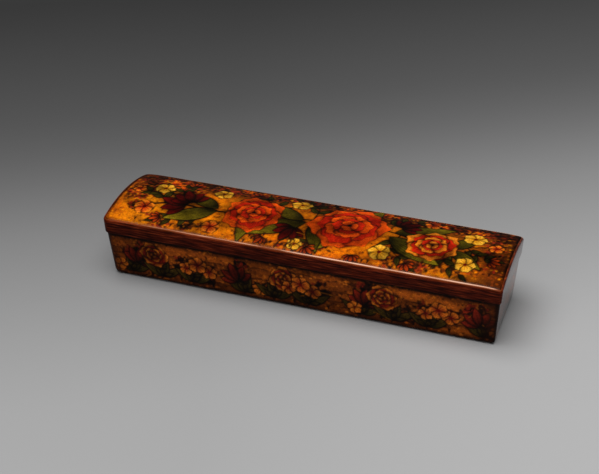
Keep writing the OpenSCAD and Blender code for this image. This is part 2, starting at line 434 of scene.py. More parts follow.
@dataclass(frozen=True)
class Rose:
    """A full rose: rings of broad overlapping petals around a dark heart."""

    centre: Pair
    radius: float
    deep: Pigment
    body: Pigment
    light: Pigment
    turn: float = 0.0

    # Petals of each ring from the outside in, with their seat, length and width in radii
    RINGS = ((6, 0.10, 0.92, 0.98), (5, 0.08, 0.72, 0.92), (5, 0.05, 0.54, 0.70), (4, 0.02, 0.38, 0.54),
             (3, 0.00, 0.24, 0.36))
    # Turn from ring to ring and stray of a petal, in degrees
    RING_TURN = 29.0
    STRAY = 11.0
    # How much the petals' lengths differ
    VARIES = 0.09
    # Width of the heart in radii
    HEART_W = 0.13
    # Strength of the shade, the way to the right and up in which it deepens, and from where to where
    SHADE = 0.6
    SHADE_WAY = (0.6, -0.8)
    SHADE_RUN = (-0.1, 1.0)

    def paint(self, canvas: Canvas) -> None:
        """Paints the petals from the outermost ring inwards, then the heart and the shaded side.

        Args:
            canvas: The sheet to paint on.
        """
        for ring, (count, seat, length, width) in enumerate(self.RINGS):
            edge = self.body if ring % 2 else self.light
            for k in range(count):
                stray = self.STRAY * math.sin(3.1 * k + ring)
                angle = self.turn + 360.0 * k / count + self.RING_TURN * ring + stray
                a = math.radians(angle)
                out = seat * self.radius
                root = (self.centre[0] + out * math.cos(a), self.centre[1] + out * math.sin(a))
                grow = 1 + self.VARIES * math.sin(2.3 * k + 1.7 * ring)
                Blade(root, angle, length * self.radius * grow, width * self.radius, self.deep, edge,
                      Pigment.UMBER, veins=11 - ring, vein_cover=0.66, bend=0.08 * math.sin(k * 2.3),
                      ruffle=0.06, halo=0.5).paint(canvas)
        canvas.dot(self.centre, self.HEART_W * self.radius, Pigment.SOOT)
        middle = np.array(self.centre)
        where, u, v = canvas.patch(middle - self.radius, middle + self.radius)
        right, up = (u - middle[0]) / self.radius, (v - middle[1]) / self.radius
        shade = self.SHADE * smooth(*self.SHADE_RUN, self.SHADE_WAY[0] * right + self.SHADE_WAY[1] * up)
        canvas.lay(where, self.deep.linear, shade * smooth(1.0, 0.9, np.hypot(right, up)))


@dataclass(frozen=True)
class Blossom:
    """A small open flower with five petals and a dotted heart."""

    centre: Pair
    radius: float
    inner: Pigment
    outer: Pigment
    heart: Pigment
    turn: float = 0.0

    PETALS = 5
    # Stray of a petal in degrees
    STRAY = 7.0
    # Widths of the shade underneath and of the heart, in radii
    SHADE_W = 2.1
    HEART_W = 0.38
    # Dots around the heart: how many, their distance from the middle in radii, and their width
    SEEDS = 6
    SEED_RING = 0.34
    SEED_W = 0.6

    def paint(self, canvas: Canvas) -> None:
        """Paints the petals and then the heart.

        Args:
            canvas: The sheet to paint on.
        """
        canvas.dot(self.centre, self.SHADE_W * self.radius, Pigment.SOOT, cover=0.4)
        wide = 2.0 * self.radius * math.sin(math.pi / self.PETALS)
        for k in range(self.PETALS):
            angle = self.turn + 360.0 * k / self.PETALS + self.STRAY * math.sin(2.7 * k + self.turn)
            Blade(self.centre, angle, self.radius, wide, self.inner, self.outer, veins=4, ruffle=0.05,
                  halo=0.3).paint(canvas)
        canvas.dot(self.centre, self.HEART_W * self.radius, self.heart)
        out = self.SEED_RING * self.radius
        for k in range(self.SEEDS):
            a = math.radians(self.turn + 360 / self.SEEDS * k)
            place = np.array(self.centre) + out * np.array([math.cos(a), math.sin(a)])
            canvas.dot(place, self.SEED_W, Pigment.SOOT, cover=0.8)


@dataclass(frozen=True)
class Flag:
    """A dark flag flower: a fan of pointed petals."""

    root: Pair
    angle: float
    size: float
    inner: Pigment
    outer: Pigment

    # Turns of the petals from the middle in degrees, in the order of painting
    SWINGS = (-62, 62, -34, 34, 0)
    # How much shorter the outermost petals are
    SHRINK = 0.2
    # Width of a petal in sizes
    PETAL_W = 0.46
    # How far a tip turns aside, in lengths to a degree of its swing
    BEND = 0.0022

    def paint(self, canvas: Canvas) -> None:
        """Paints the fan from its sides to its middle.

        Args:
            canvas: The sheet to paint on.
        """
        for swing in self.SWINGS:
            length = self.size * (1 - self.SHRINK * abs(swing) / max(self.SWINGS))
            Blade(self.root, self.angle + swing, length, self.size * self.PETAL_W, self.inner, self.outer,
                  pointed=0.5, veins=3, halo=0.35, bend=self.BEND * swing).paint(canvas)


@dataclass(frozen=True)
class Spray:
    """A stem with pairs of leaves."""

    path: np.ndarray
    leaf: float
    inner: Pigment
    outer: Pigment
    stem: Pigment
    every: int

    # Width of the stem at its start and end
    STEM_W = (1.1, 0.5)
    # How much smaller the last leaf is
    SHRINK = 0.4
    # How far leaves stand away from the stem in degrees, and how much that varies
    SPREAD = 48
    VARIES = 9
    # Width of a leaf, and how far its tip turns back, in lengths
    LEAF_W = 0.44
    BEND = 0.12

    def paint(self, canvas: Canvas) -> None:
        """Paints the stem and then its leaves, smaller towards the tip.

        Args:
            canvas: The sheet to paint on.
        """
        canvas.stroke(self.path, *self.STEM_W, self.stem)
        last = len(self.path) - 1
        for n, k in enumerate(range(self.every, last + 1, self.every)):
            d = self.path[k] - self.path[k - 1]
            heading = math.degrees(math.atan2(d[1], d[0]))
            size = self.leaf * (1 - self.SHRINK * k / last)
            for side in (1, -1) if k < last else (0,):
                away = side * (self.SPREAD + self.VARIES * math.sin(1.7 * n))
                Blade(tuple(self.path[k]), heading + away, size, size * self.LEAF_W, self.inner, self.outer,
                      pointed=1.0, veins=4, halo=0.25, bend=-self.BEND * side).paint(canvas)


@dataclass(frozen=True)
class Thicket:
    """A loose cloud of small dabs of the brush, as foliage seen from afar."""

    centre: Pair
    reach: Pair
    count: int
    tones: tuple[Pigment, ...]
    leaf: float = 2.6
    cover: float = 0.85

    # Dabs to a clump, and how far they stray from it in reaches
    CLUMP = 14
    STRAY = 0.16
    # Length of a dab in leaves and its cover in covers: the least, and what chance adds
    LENGTHS = (0.55, 0.8)
    COVERS = (0.45, 0.55)
    # Width of a dab in lengths
    DAB_W = 0.55

    def paint(self, canvas: Canvas) -> None:
        """Paints the dabs in clumps, thinner towards the outside.

        Args:
            canvas: The sheet to paint on.
        """
        clumps = canvas.rng.random((max(1, self.count // self.CLUMP), 2))
        for n in range(self.count):
            a, r = clumps[n % len(clumps)]
            a, r = 2 * math.pi * a, math.sqrt(r)
            stray = canvas.rng.normal(0, self.STRAY, 2)
            root = (self.centre[0] + self.reach[0] * (r * math.cos(a) + stray[0]),
                    self.centre[1] + self.reach[1] * (r * math.sin(a) + stray[1]))
            tone = self.tones[int(canvas.rng.integers(len(self.tones)))]
            size = self.leaf * canvas.chance(*self.LENGTHS)
            Blade(root, canvas.rng.random() * 360, size, size * self.DAB_W, tone, tone, tone, pointed=0.6,
                  cover=self.cover * canvas.chance(*self.COVERS)).paint(canvas)


@dataclass(frozen=True)
class Tuft:
    """A tuft of grass."""

    root: Pair
    height: float
    tone: Pigment
    blades: int = 7

    # Width of the fan in heights, and how much shorter and lower its outer blades are to a unit of lean
    FAN = 1.6
    SHRINK = 0.35
    DROOP = 0.3
    # Height of a blade: the least, and what chance adds
    HEIGHTS = (0.8, 0.4)
    # Where a blade bows, in leans and in heights
    BOW = (0.3, 0.55)
    # Width of a blade at its foot and tip
    BLADE_W = (0.6, 0.2)

    def paint(self, canvas: Canvas) -> None:
        """Paints the blades as a fan of thin strokes.

        Args:
            canvas: The sheet to paint on.
        """
        for k in range(self.blades):
            lean = self.FAN * (k / (self.blades - 1) - 0.5)
            tall = self.height * (1 - self.SHRINK * abs(lean)) * canvas.chance(*self.HEIGHTS)
            tip = (self.root[0] + lean * tall, self.root[1] + tall * (1 - self.DROOP * abs(lean)))
            bow = (self.root[0] + self.BOW[0] * lean * tall, self.root[1] + self.BOW[1] * tall)
            canvas.stroke(curve(self.root, bow, tip, steps=5), *self.BLADE_W, self.tone, cover=0.85)


# The two pictures


class Painting(ABC):
    """A design that fills one sheet. Pitches are in millimetres, rooms in square millimetres."""

    PITCH = 0.4
    # Dabs on the ground; of lengths and covers, the least and what chance adds
    DAB_ROOM = 7.0
    DAB_LENGTHS = (0.9, 1.3)
    DAB_COVERS = (0.2, 0.4)
    DAB_W = 0.6
    DAB_TURN = 50
    # The unevenness that counts as a stain; of the grain's tone, the least and what it adds
    STAIN = (0.42, 0.72)
    GRAIN = (0.74, 0.52)
    # Specks and scratches of age
    SPECK_ROOM = 26
    SPECK_W = (0.3, 0.8)
    SPECK_COVERS = (0.25, 0.5)
    SCRATCH_PITCH = 5
    SCRATCH_RUN = (4.0, 1.2)
    SCRATCH_BEND = 0.3
    SCRATCH_W = (0.3, 0.15)

    @abstractmethod
    def paint(self) -> Canvas:
        """Paints the sheet and returns it."""

    def stipple(self, canvas: Canvas, *tones: Pigment) -> None:
        """Dabs the ground all over with the tip of the brush.

        Args:
            canvas: The sheet to paint on.
            tones: The paints that take turns.
        """
        for n in range(canvas.marks(self.DAB_ROOM)):
            size = canvas.chance(*self.DAB_LENGTHS)
            tone = tones[n % len(tones)]
            root = tuple(canvas.rng.uniform(*canvas.span))
            Blade(root, canvas.rng.normal(0, self.DAB_TURN), size, size * self.DAB_W, tone, tone, tone,
                  cover=canvas.chance(*self.DAB_COVERS)).paint(canvas)

    def age(self, canvas: Canvas, dirt: float) -> None:
        """Darkens the picture unevenly, and adds specks and scratches.

        Args:
            canvas: The painted sheet.
            dirt: How much the darkest spots lose.
        """
        stain = smooth(*self.STAIN, canvas.cloud(16, 10, 4))
        grain = canvas.cloud(2.6, 2.2, 2)
        canvas.rgb *= ((1 - dirt * stain) * (self.GRAIN[0] + self.GRAIN[1] * grain))[..., None]
        low, high = canvas.span
        for _ in range(canvas.marks(self.SPECK_ROOM)):
            place = canvas.rng.uniform(low, high)
            size = self.SPECK_W[0] + self.SPECK_W[1] * canvas.rng.random() ** 3
            canvas.dot(place, size, Pigment.SOOT, canvas.chance(*self.SPECK_COVERS))
        for n in range(round((high[0] - low[0]) / self.SCRATCH_PITCH)):
            place = canvas.rng.uniform(low, high)
            way = canvas.rng.normal(0, self.SCRATCH_RUN)
            bend = canvas.rng.normal(0, self.SCRATCH_BEND, 2)
            path = np.array([place, place + 0.5 * way + bend, place + way])
            tone = Pigment.HONEY if n % 3 == 0 else Pigment.SOOT
            canvas.stroke(path, *self.SCRATCH_W, tone, cover=0.35)


@dataclass(frozen=True)
class LidGarden(Painting):
    """Roses, flags and broad leaves before dark foliage, over an amber ground."""

    half_l: float
    half_w: float
    rim: float = RIM_EDGE
    tufts: int = 26
    seed: int = 11

    def ground(self, canvas: Canvas) -> None:
        """Lays the amber ground, darker to the back, to the right and along the edges.

        Args:
            canvas: The sheet to paint on.
        """
        u, v = canvas.grid()
        drift = canvas.cloud(46, 22)
        fine = canvas.cloud(7, 5)
        warm = np.clip(drift + 0.5 * (fine - 0.5), 0, 1)[..., None]
        canvas.rgb[:] = Pigment.AMBER.linear * (1 - warm) + Pigment.HONEY.linear * warm
        canvas.wash(Pigment.OLIVE_GOLD, smooth(-70, -128, u) * 0.85 * drift)
        canvas.wash(Pigment.RUSSET, smooth(30, 120, u) * np.clip(1.25 - 1.3 * drift, 0, 0.8))
        canvas.wash(Pigment.RUSSET, 0.8 * smooth(0, 24, v + 16 * (drift - 0.5)))
        canvas.wash(Pigment.UMBER, 0.96 * smooth(5, 24, v + 14 * (fine - 0.5) + 9 * (drift - 0.5)))
        canvas.wash(Pigment.UMBER, 0.85 * smooth(104, 131, u + 22 * (fine - 0.5)))
        canvas.wash(Pigment.RUSSET, 0.6 * smooth(-119, -131, u + 14 * (fine - 0.5)))

    def shade(self, canvas: Canvas, centre: Pair, reach: Pair) -> None:
        """Lays soft shade on the ground behind a cluster of flowers.

        Args:
            canvas: The sheet to paint on.
            centre: The middle of the cluster.
            reach: How far the shade goes along and across the sheet.
        """
        u, v = canvas.grid()
        away = np.hypot((u - centre[0]) / reach[0], (v - centre[1]) / reach[1])
        canvas.wash(Pigment.UMBER, 0.72 * smooth(1.0, 0.3, away))

    def foliage(self, canvas: Canvas) -> None:
        """Paints the distant foliage, thick along the back and thin in front.

        Args:
            canvas: The sheet to paint on.
        """
        dark = (Pigment.UMBER, Pigment.BISTRE, Pigment.SOOT, Pigment.MADDER, Pigment.RUSSET)
        bright = (Pigment.AMBER, Pigment.HONEY, Pigment.CORAL)
        for centre, reach, count in (
                ((-100, 18), (26, 14), 420), ((-58, 24), (24, 9), 300), ((-14, 27), (28, 7), 260),
                ((40, 27), (34, 7), 300), ((92, 23), (30, 9), 340), ((116, -6), (12, 22), 240),
                ((-121, -10), (7, 14), 90), ((-84, -26), (20, 6), 110), ((-4, -27), (24, 5), 130),
                ((70, -26), (26, 5), 140), ((-118, 8), (10, 16), 120)):
            Thicket(centre, reach, count, dark).paint(canvas)
        for centre, count in (((-104, 20), 70), ((-52, 26), 50), ((30, 28), 60), ((100, 22), 60)):
            Thicket(centre, (24, 8), count, bright, leaf=1.9, cover=0.7).paint(canvas)

    def leaves(self, canvas: Canvas) -> None:
        """Paints the branch, its twigs and the broad leaves.

        Args:
            canvas: The sheet to paint on.
        """
        branch = curve((-118, -18), (-92, -8), (-62, -9), (-12, -2), (44, 3), (84, -6), (119, 4), steps=14)
        canvas.stroke(branch, 2.0, 1.2, Pigment.SOOT)
        for knots, size in (
                (((-98, -10), (-106, 1), (-120, 2)), 13), (((-84, -8), (-92, 8), (-90, 22)), 12),
                (((-72, -10), (-80, -20), (-98, -27)), 13), (((-24, -4), (-26, 12), (-44, 24)), 13),
                (((2, 0), (0, 18), (-14, 27)), 12), (((50, 3), (58, 18), (74, 26)), 13),
                (((60, 0), (58, -16), (72, -28)), 13), (((94, -4), (92, -18), (104, -28)), 13),
                (((102, 0), (110, -8), (123, -10)), 11), (((-10, -2), (-8, -18), (6, -29)), 13)):
            Spray(curve(*knots), size, Pigment.PINE, Pigment.MOSS, Pigment.SOOT, every=5).paint(canvas)
        for root, angle, size, bend in (
                ((-2, -4), 207, 40, 0.1), ((-4, -2), 160, 34, -0.1), ((2, -6), 300, 28, -0.1),
                ((-62, -6), 150, 32, 0.1), ((-62, -8), 212, 36, -0.08), ((56, 2), 20, 40, 0.1),
                ((54, -4), 326, 42, 0.1), ((92, -6), 42, 28, 0.1), ((94, -8), 334, 26, -0.1),
                ((30, 4), 246, 36, -0.06), ((32, 6), 70, 30, 0.08), ((-38, -4), 264, 30, 0.08)):
            Blade(root, angle, size, size * 0.38, Pigment.PINE, Pigment.SAGE, pointed=0.8, veins=9,
                  vein_cover=0.8, bend=bend, halo=0.6).paint(canvas)

    def flowers(self, canvas: Canvas) -> None:
        """Paints the roses, the flags, the small blossoms and the buds.

        Args:
            canvas: The sheet to paint on.
        """
        for centre, size, turn, light in (
                ((26, 1), 25.0, 12, Pigment.CORAL), ((-38, -3), 20.0, 44, Pigment.CORAL),
                ((82, -5), 16.5, -20, Pigment.PEACH)):
            Rose(centre, size, Pigment.CRIMSON, Pigment.VERMILION, light, turn).paint(canvas)
        for root, angle, size in (((-84, -8), 168, 19), ((-82, -4), 118, 17), ((58, 10), 44, 15),
                                  ((-8, -12), 250, 15)):
            Flag(root, angle, size, Pigment.SOOT, Pigment.CRIMSON).paint(canvas)
        for centre, size, turn, pale in (
                ((-106, 9), 7.0, 0, True), ((-110, -17), 7.0, 30, False), ((-66, 15), 6.5, 50, True),
                ((-12, 19), 7.0, 20, True), ((52, -21), 7.0, 33, True), ((106, 11), 7.5, 10, True),
                ((106, -19), 6.5, 5, True), ((-60, -25), 6.0, 15, False), ((121, 3), 5.0, 20, False),
                ((-122, 3), 4.5, 60, False), ((-2, -27), 5.0, 10, True), ((76, 22), 5.5, 25, False)):
            hue = (Pigment.SAFFRON, Pigment.CREAM) if pale else (Pigment.VERMILION, Pigment.PEACH)
            Blossom(centre, size, *hue, Pigment.CRIMSON, turn).paint(canvas)
        for root, angle in (((-96, -24), 210), ((-88, 21), 80), ((-44, 22), 130), ((74, 25), 40),
                            ((70, -27), 300), ((6, -28), 320), ((120, -12), 350), ((-24, -26), 240),
                            ((36, -28), 280)):
            Flag(root, angle, 7.5, Pigment.CRIMSON, Pigment.CORAL).paint(canvas)

    def border(self, canvas: Canvas) -> None:
        """Draws the dark worn line around the panel.

        Args:
            canvas: The sheet to paint on.
        """
        u, v = canvas.grid()
        rub = canvas.cloud(5, 4)
        inset = np.minimum(self.half_l - self.rim - np.abs(u), self.half_w - self.rim - np.abs(v))
        strength = 0.35 + 0.55 * smooth(-30, -18, v)
        canvas.wash(Pigment.SOOT, strength * smooth(2.1, 0.9, inset + 2.2 * (rub - 0.5)))

    def paint(self) -> Canvas:
        """Paints the whole lid.

        Returns:
            The finished sheet.
        """
        canvas = Canvas((-self.half_l, -self.half_w, self.half_l, self.half_w), self.PITCH, self.seed)
        self.ground(canvas)
        self.stipple(canvas, Pigment.HONEY, Pigment.RUSSET, Pigment.AMBER, Pigment.BISTRE)
        self.foliage(canvas)
        for centre, reach in (((26, 2), (44, 28)), ((-38, -4), (34, 24)), ((82, -4), (28, 21)),
                              ((-88, -4), (24, 18))):
            self.shade(canvas, centre, reach)
        self.leaves(canvas)
        self.flowers(canvas)
        for _ in range(self.tufts):
            root = (canvas.rng.uniform(-124, 124), canvas.rng.uniform(-33, -24))
            Tuft(root, 5.0, Pigment.UMBER).paint(canvas)
        self.age(canvas, dirt=0.62)
        self.border(canvas)
        return canvas


@dataclass(frozen=True)
class WallFrieze(Painting):
    """Flowering shrubs on rolling ground, in dim browns."""

    half_l: float
    height: float
    seed: int
    bay: float = 27.0

    def ground(self, canvas: Canvas) -> None:
        """Lays the brown ground with its ridges, its dark foot, and a painted shadow along its top, under the
        lid's rim.

        Args:
            canvas: The sheet to paint on.
        """
        u, v = canvas.grid()
        drift, fine = canvas.cloud(34, 12), canvas.cloud(6, 4)
        warm = np.clip(0.3 + 0.85 * drift + 0.5 * (fine - 0.5), 0, 1)[..., None]
        canvas.rgb[:] = Pigment.WALNUT.linear * (1 - warm) + Pigment.TAN.linear * warm
        for level, sway in ((0.74, 2.6), (0.5, 3.4), (0.3, 2.4)):
            wave = sway * np.sin(u / (9 + 30 * level) + self.seed)
            under = self.height * level + wave + 0.9 * np.sin(u / 4.7 + level) - v
            slope = np.where(under > 0, 0.75 * np.exp(-np.abs(under) / 4.5), 0.0)
            canvas.wash(Pigment.UMBER, slope * (0.4 + 0.8 * drift))
            canvas.wash(Pigment.SOOT, 0.8 * smooth(0.55, 0.15, np.abs(under)) * (0.3 + 0.9 * fine))
        canvas.wash(Pigment.UMBER, 0.7 * smooth(9, 3, v + 6 * (drift - 0.5)))
        # Painted shadow under the lid's rim: the ground darkens along its top
        canvas.wash(Pigment.UMBER, 0.75 * smooth(self.height - 6, self.height - 1, v + 4 * (fine - 0.5)))

    def bands(self, canvas: Canvas) -> None:
        """Lays dark bands along the foot and around the ends, and a painted shadow along the parting line,
        under the lid's rim.

        Args:
            canvas: The sheet to paint on.
        """
        u, v = canvas.grid()
        # Uneven edges for the dark bands and for the painted shadow
        rub = 3 * (canvas.cloud(7, 4) - 0.5)
        canvas.wash(Pigment.UMBER, 0.7 * smooth(4.6, 2.6, v + rub))
        canvas.wash(Pigment.SOOT, 0.7 * smooth(2.8, 1.2, v + 0.6 * rub))
        # Painted shadow: a near-black band along the parting line, under the lid's rim
        canvas.wash(Pigment.SOOT, 0.9 * smooth(self.height - 2.8, self.height - 1.4, v + 0.4 * rub))
        canvas.wash(Pigment.UMBER, 0.85 * smooth(self.half_l - 14, self.half_l - 3, np.abs(u) + 2 * rub))
        canvas.wash(Pigment.SOOT, 0.8 * smooth(self.half_l - 4, self.half_l - 1.5, np.abs(u) + 0.5 * rub))

    def shrub(self, canvas: Canvas, at: float, kind: int) -> None:
        """Paints one flowering plant, nearly as tall as the wall.

        Args:
            canvas: The sheet to paint on.
            at: Where it stands along the wall.
            kind: Which of the turns of leaf and flower it takes.
        """
        lean = (6.0, -5.0, 3.0, -7.0)[kind % 4]
        tall = self.height * (0.64, 0.58, 0.68)[kind % 3]
        head = (at + lean, tall)
        dark = (Pigment.SOOT, Pigment.UMBER, Pigment.SOOT, Pigment.MADDER)
        Thicket(head, (12, 8), 70, dark, leaf=3.0).paint(canvas)
        for angle, length in ((150, 17), (28, 18), (118, 13), (64, 14)):
            Blade((at, 5), angle, length, length * 0.36, Pigment.PINE, Pigment.DIM_LEAF, pointed=0.9, veins=5,
                  bend=0.1 if angle < 90 else -0.1, halo=0.4).paint(canvas)
        stem = curve((at - 1, 3), (at - 0.2 * lean, 0.4 * tall), head)
        Spray(stem, 8.5, Pigment.SOOT, Pigment.DIM_LEAF, Pigment.SOOT, every=6).paint(canvas)
        if kind % 3 == 0:
            Rose(head, 9.5, Pigment.CRIMSON, Pigment.MADDER, Pigment.DIM_OCHRE, 31.0 * kind).paint(canvas)
        elif kind % 3 == 1:
            for swing, size in ((-8, 5.0), (8, 5.6), (0, 6.4)):
                centre = (at + lean + swing, tall - 0.5 * abs(swing))
                Blossom(centre, size, Pigment.MADDER, Pigment.DIM_OCHRE, Pigment.CRIMSON,
                        17.0 * kind + swing).paint(canvas)
        else:
            root, centre = (at + 0.6 * lean, 0.55 * tall), (at - 1.5 * lean, 0.42 * tall)
            Flag(root, 90 - 3 * lean, 15.0, Pigment.SOOT, Pigment.MADDER).paint(canvas)
            Blossom(centre, 5.0, Pigment.DIM_OCHRE, Pigment.TAN, Pigment.CRIMSON, 29.0 * kind).paint(canvas)

    def paint(self) -> Canvas:
        """Paints one wall.

        Returns:
            The finished sheet.
        """
        canvas = Canvas((-self.half_l, 0.0, self.half_l, self.height), self.PITCH, self.seed)
        self.ground(canvas)
        self.stipple(canvas, Pigment.TAN, Pigment.UMBER, Pigment.DIM_OCHRE, Pigment.SOOT)
        bays = max(2, round(2 * self.half_l / self.bay))
        step = 2 * self.half_l / bays
        for k in range(bays):
            at = -self.half_l + step * (k + 0.5 + 0.2 * math.sin(2.1 * k + self.seed))
            dark = (Pigment.SOOT, Pigment.UMBER)
            Thicket((at + step / 2, self.height * 0.36), (7, 5), 40, dark, leaf=2.8).paint(canvas)
            Tuft((at + step / 2, 4.0), 8.0, Pigment.SOOT).paint(canvas)
            self.shrub(canvas, at, k + self.seed)
        self.bands(canvas)
        self.age(canvas, dirt=0.55)
        return canvas


# Finishes


@dataclass(frozen=True)
class Tone:
    """Soft noise that is graded.

    Attributes:
        scale: Spots to a metre.
        detail: How many finer layers it has.
        span: The noise's values that are told apart.
        gives: What the ends of the span become.
    """

    scale: float
    detail: float
    span: Pair
    gives: Pair


@dataclass(frozen=True)
class Relief:
    """Soft noise that makes fine bumps.

    Attributes:
        scale: Spots to a metre.
        detail: How many finer layers it has.
        strength: How strongly the bumps show.
        depth: Their depth in metres.
    """

    scale: float
    detail: float
    strength: float
    depth: float


class Finish(ABC):
    """A material that is laid out once and shared by the pieces that wear it.

    Attributes:
        name: The material's name.
        COAT_IOR: Refraction of the varnish.
        SHINE_UNDER_COAT: How much the paint under it reflects by itself.
        MIX_INPUTS: Numbers of a colour mix's factor, first colour and second colour.
        MIX_OUTPUT: Number of the colour that it gives.
    """

    name: str

    COAT_IOR = 1.4
    SHINE_UNDER_COAT = 0.015
    MIX_INPUTS = (0, 6, 7)
    MIX_OUTPUT = 2

    def material(self) -> bpy.types.Material:
        """Gives the finish's material, laid out on first use.

        Returns:
            The material.
        """
        known = bpy.data.materials.get(self.name)
        if known is not None:
            return known
        made = bpy.data.materials.new(self.name)
        made.use_nodes = True
        self.tree = made.node_tree
        self.shader = self.tree.nodes["Principled BSDF"]
        self.lay_out()
        return made

    @abstractmethod
    def lay_out(self) -> None:
        """Adds the finish's nodes to its tree."""

    def plug(self, target: Socket, value: object) -> None:
        """Joins an output to an input, or sets the input to a plain value.

        Args:
            target: The input.
            value: The output or the value.
        """
        if isinstance(value, Socket):
            self.tree.links.new(value, target)
        else:
            target.default_value = value

    def feed(self, name: str, value: object) -> None:
        """Plugs one of the shader's inputs."""
        self.plug(self.shader.inputs[name], value)

    def node(self, kind: str, **settings: object) -> bpy.types.Node:
        """Adds one node.

        Args:
            kind: Its type.
            settings: Values of its properties, or what its inputs take where the name is an input's.

        Returns:
            The node.
        """
        made = self.tree.nodes.new(kind)
        for key, value in settings.items():
            if hasattr(made, key):
                setattr(made, key, value)
            else:
                self.plug(made.inputs[key.replace("_", " ").title()], value)
        return made

    def coordinates(self, stretch: Triple = (1, 1, 1)) -> Socket:
        """Gives the piece's own coordinates, scaled along the three axes."""
        place = self.node("ShaderNodeTexCoord").outputs["Object"]
        return self.node("ShaderNodeMapping", vector=place, scale=stretch).outputs["Vector"]

    def along(self, where: Socket, axis: str) -> Socket:
        """Gives one of the three values of a place."""
        return self.node("ShaderNodeSeparateXYZ", vector=where).outputs[axis]

    def attribute(self, name: str, output: str) -> Socket:
        """Reads what a piece's vertices carry."""
        return self.node("ShaderNodeAttribute", attribute_name=name).outputs[output]

    def noise(self, where: Socket, scale: float, detail: float) -> Socket:
        """Adds soft noise, with so many spots to a metre and so many finer layers."""
        return self.node("ShaderNodeTexNoise", vector=where, scale=scale, detail=detail).outputs["Fac"]

    def graded(self, value: Socket, span: Pair, gives: Pair = FULL) -> Socket:
        """Maps a value from one span to another and keeps it inside.

        Args:
            value: The value.
            span: The values that are told apart.
            gives: What the ends of the span become.

        Returns:
            The mapped value.
        """
        made = self.node("ShaderNodeMapRange", value=value, from_min=span[0], from_max=span[1],
                         to_min=gives[0], to_max=gives[1])
        return made.outputs["Result"]

    def tone(self, where: Socket, tone: Tone) -> Socket:
        """Adds soft noise, graded as a tone says."""
        return self.graded(self.noise(where, tone.scale, tone.detail), tone.span, tone.gives)

    def relief(self, where: Socket, relief: Relief) -> tuple[Socket, Socket]:
        """Adds soft noise and the bumps that it makes.

        Args:
            where: Coordinates.
            relief: What the bumps are like.

        Returns:
            The noise's value, and the normal.
        """
        value = self.noise(where, relief.scale, relief.detail)
        made = self.node("ShaderNodeBump", strength=relief.strength, distance=relief.depth)
        self.plug(made.inputs["Height"], value)
        return value, made.outputs["Normal"]

    def product(self, first: Socket, second: Socket) -> Socket:
        """Multiplies two values.

        Args:
            first: One value.
            second: The other.

        Returns:
            Their product.
        """
        made = self.node("ShaderNodeMath", operation="MULTIPLY")
        for socket, value in zip(made.inputs, (first, second)):
            self.plug(socket, value)
        return made.outputs[0]

    def mixed(self, blend: str, factor: Socket | float, first: object, second: object) -> Socket:
        """Mixes two colours.

        Args:
            blend: Blender's name of the way they mix.
            factor: How much of the second.
            first: A colour or a socket.
            second: A colour or a socket.

        Returns:
            The mixed colour.
        """
        made = self.node("ShaderNodeMix", data_type="RGBA", blend_type=blend)
        for number, value in zip(self.MIX_INPUTS, (factor, first, second)):
            self.plug(made.inputs[number], value)
        return made.outputs[self.MIX_OUTPUT]

    def shaded(self, colour: Socket, *tones: Socket) -> Socket:
        """Multiplies a colour by each tone in turn.

        Args:
            colour: The colour.
            tones: What darkens or lightens it.

        Returns:
            The toned colour.
        """
        for tone in tones:
            colour = self.mixed("MULTIPLY", 1.0, colour, tone)
        return colour

    def over(self, first: Socket | Triple, second: Triple, factor: Socket) -> Socket:
        """Lays a screen colour over another, or over a socket's, as much as the factor says."""
        under = first if isinstance(first, Socket) else rgba(first)
        return self.mixed("MIX", factor, under, rgba(second))

    def ramp(self, value: Socket, stops: Sequence[tuple[float, Quad]], way: str = "LINEAR") -> Socket:
        """Runs a value through a row of colours.

        Args:
            value: The value, 0 to 1.
            stops: Places and linear colours.
            way: Blender's name of the way from stop to stop.

        Returns:
            The colour.
        """
        made = self.node("ShaderNodeValToRGB", fac=value)
        made.color_ramp.interpolation = way
        elements = made.color_ramp.elements
        while len(elements) < len(stops):
            elements.new(0.5)
        for element, (place, colour) in zip(elements, stops):
            element.position, element.color = place, colour
        return made.outputs["Color"]

    def surface(self, colour: Socket, roughness: Socket | float, normal: Socket) -> None:
        """Gives the shader what every solid finish has.

        Args:
            colour: The colour.
            roughness: How soft its reflections are.
            normal: The normal of its fine relief.
        """
        self.feed("Base Color", colour)
        self.feed("Roughness", roughness)
        self.feed("Normal", normal)

    def varnish(self, weight: float, roughness: float) -> None:
        """Puts a clear coat over the finish.

        Args:
            weight: How much of it.
            roughness: How soft its reflections are.
        """
        self.feed("Coat Weight", weight)
        self.feed("Coat Roughness", roughness)
        self.feed("Coat IOR", self.COAT_IOR)
        self.feed("Specular IOR Level", self.SHINE_UNDER_COAT)


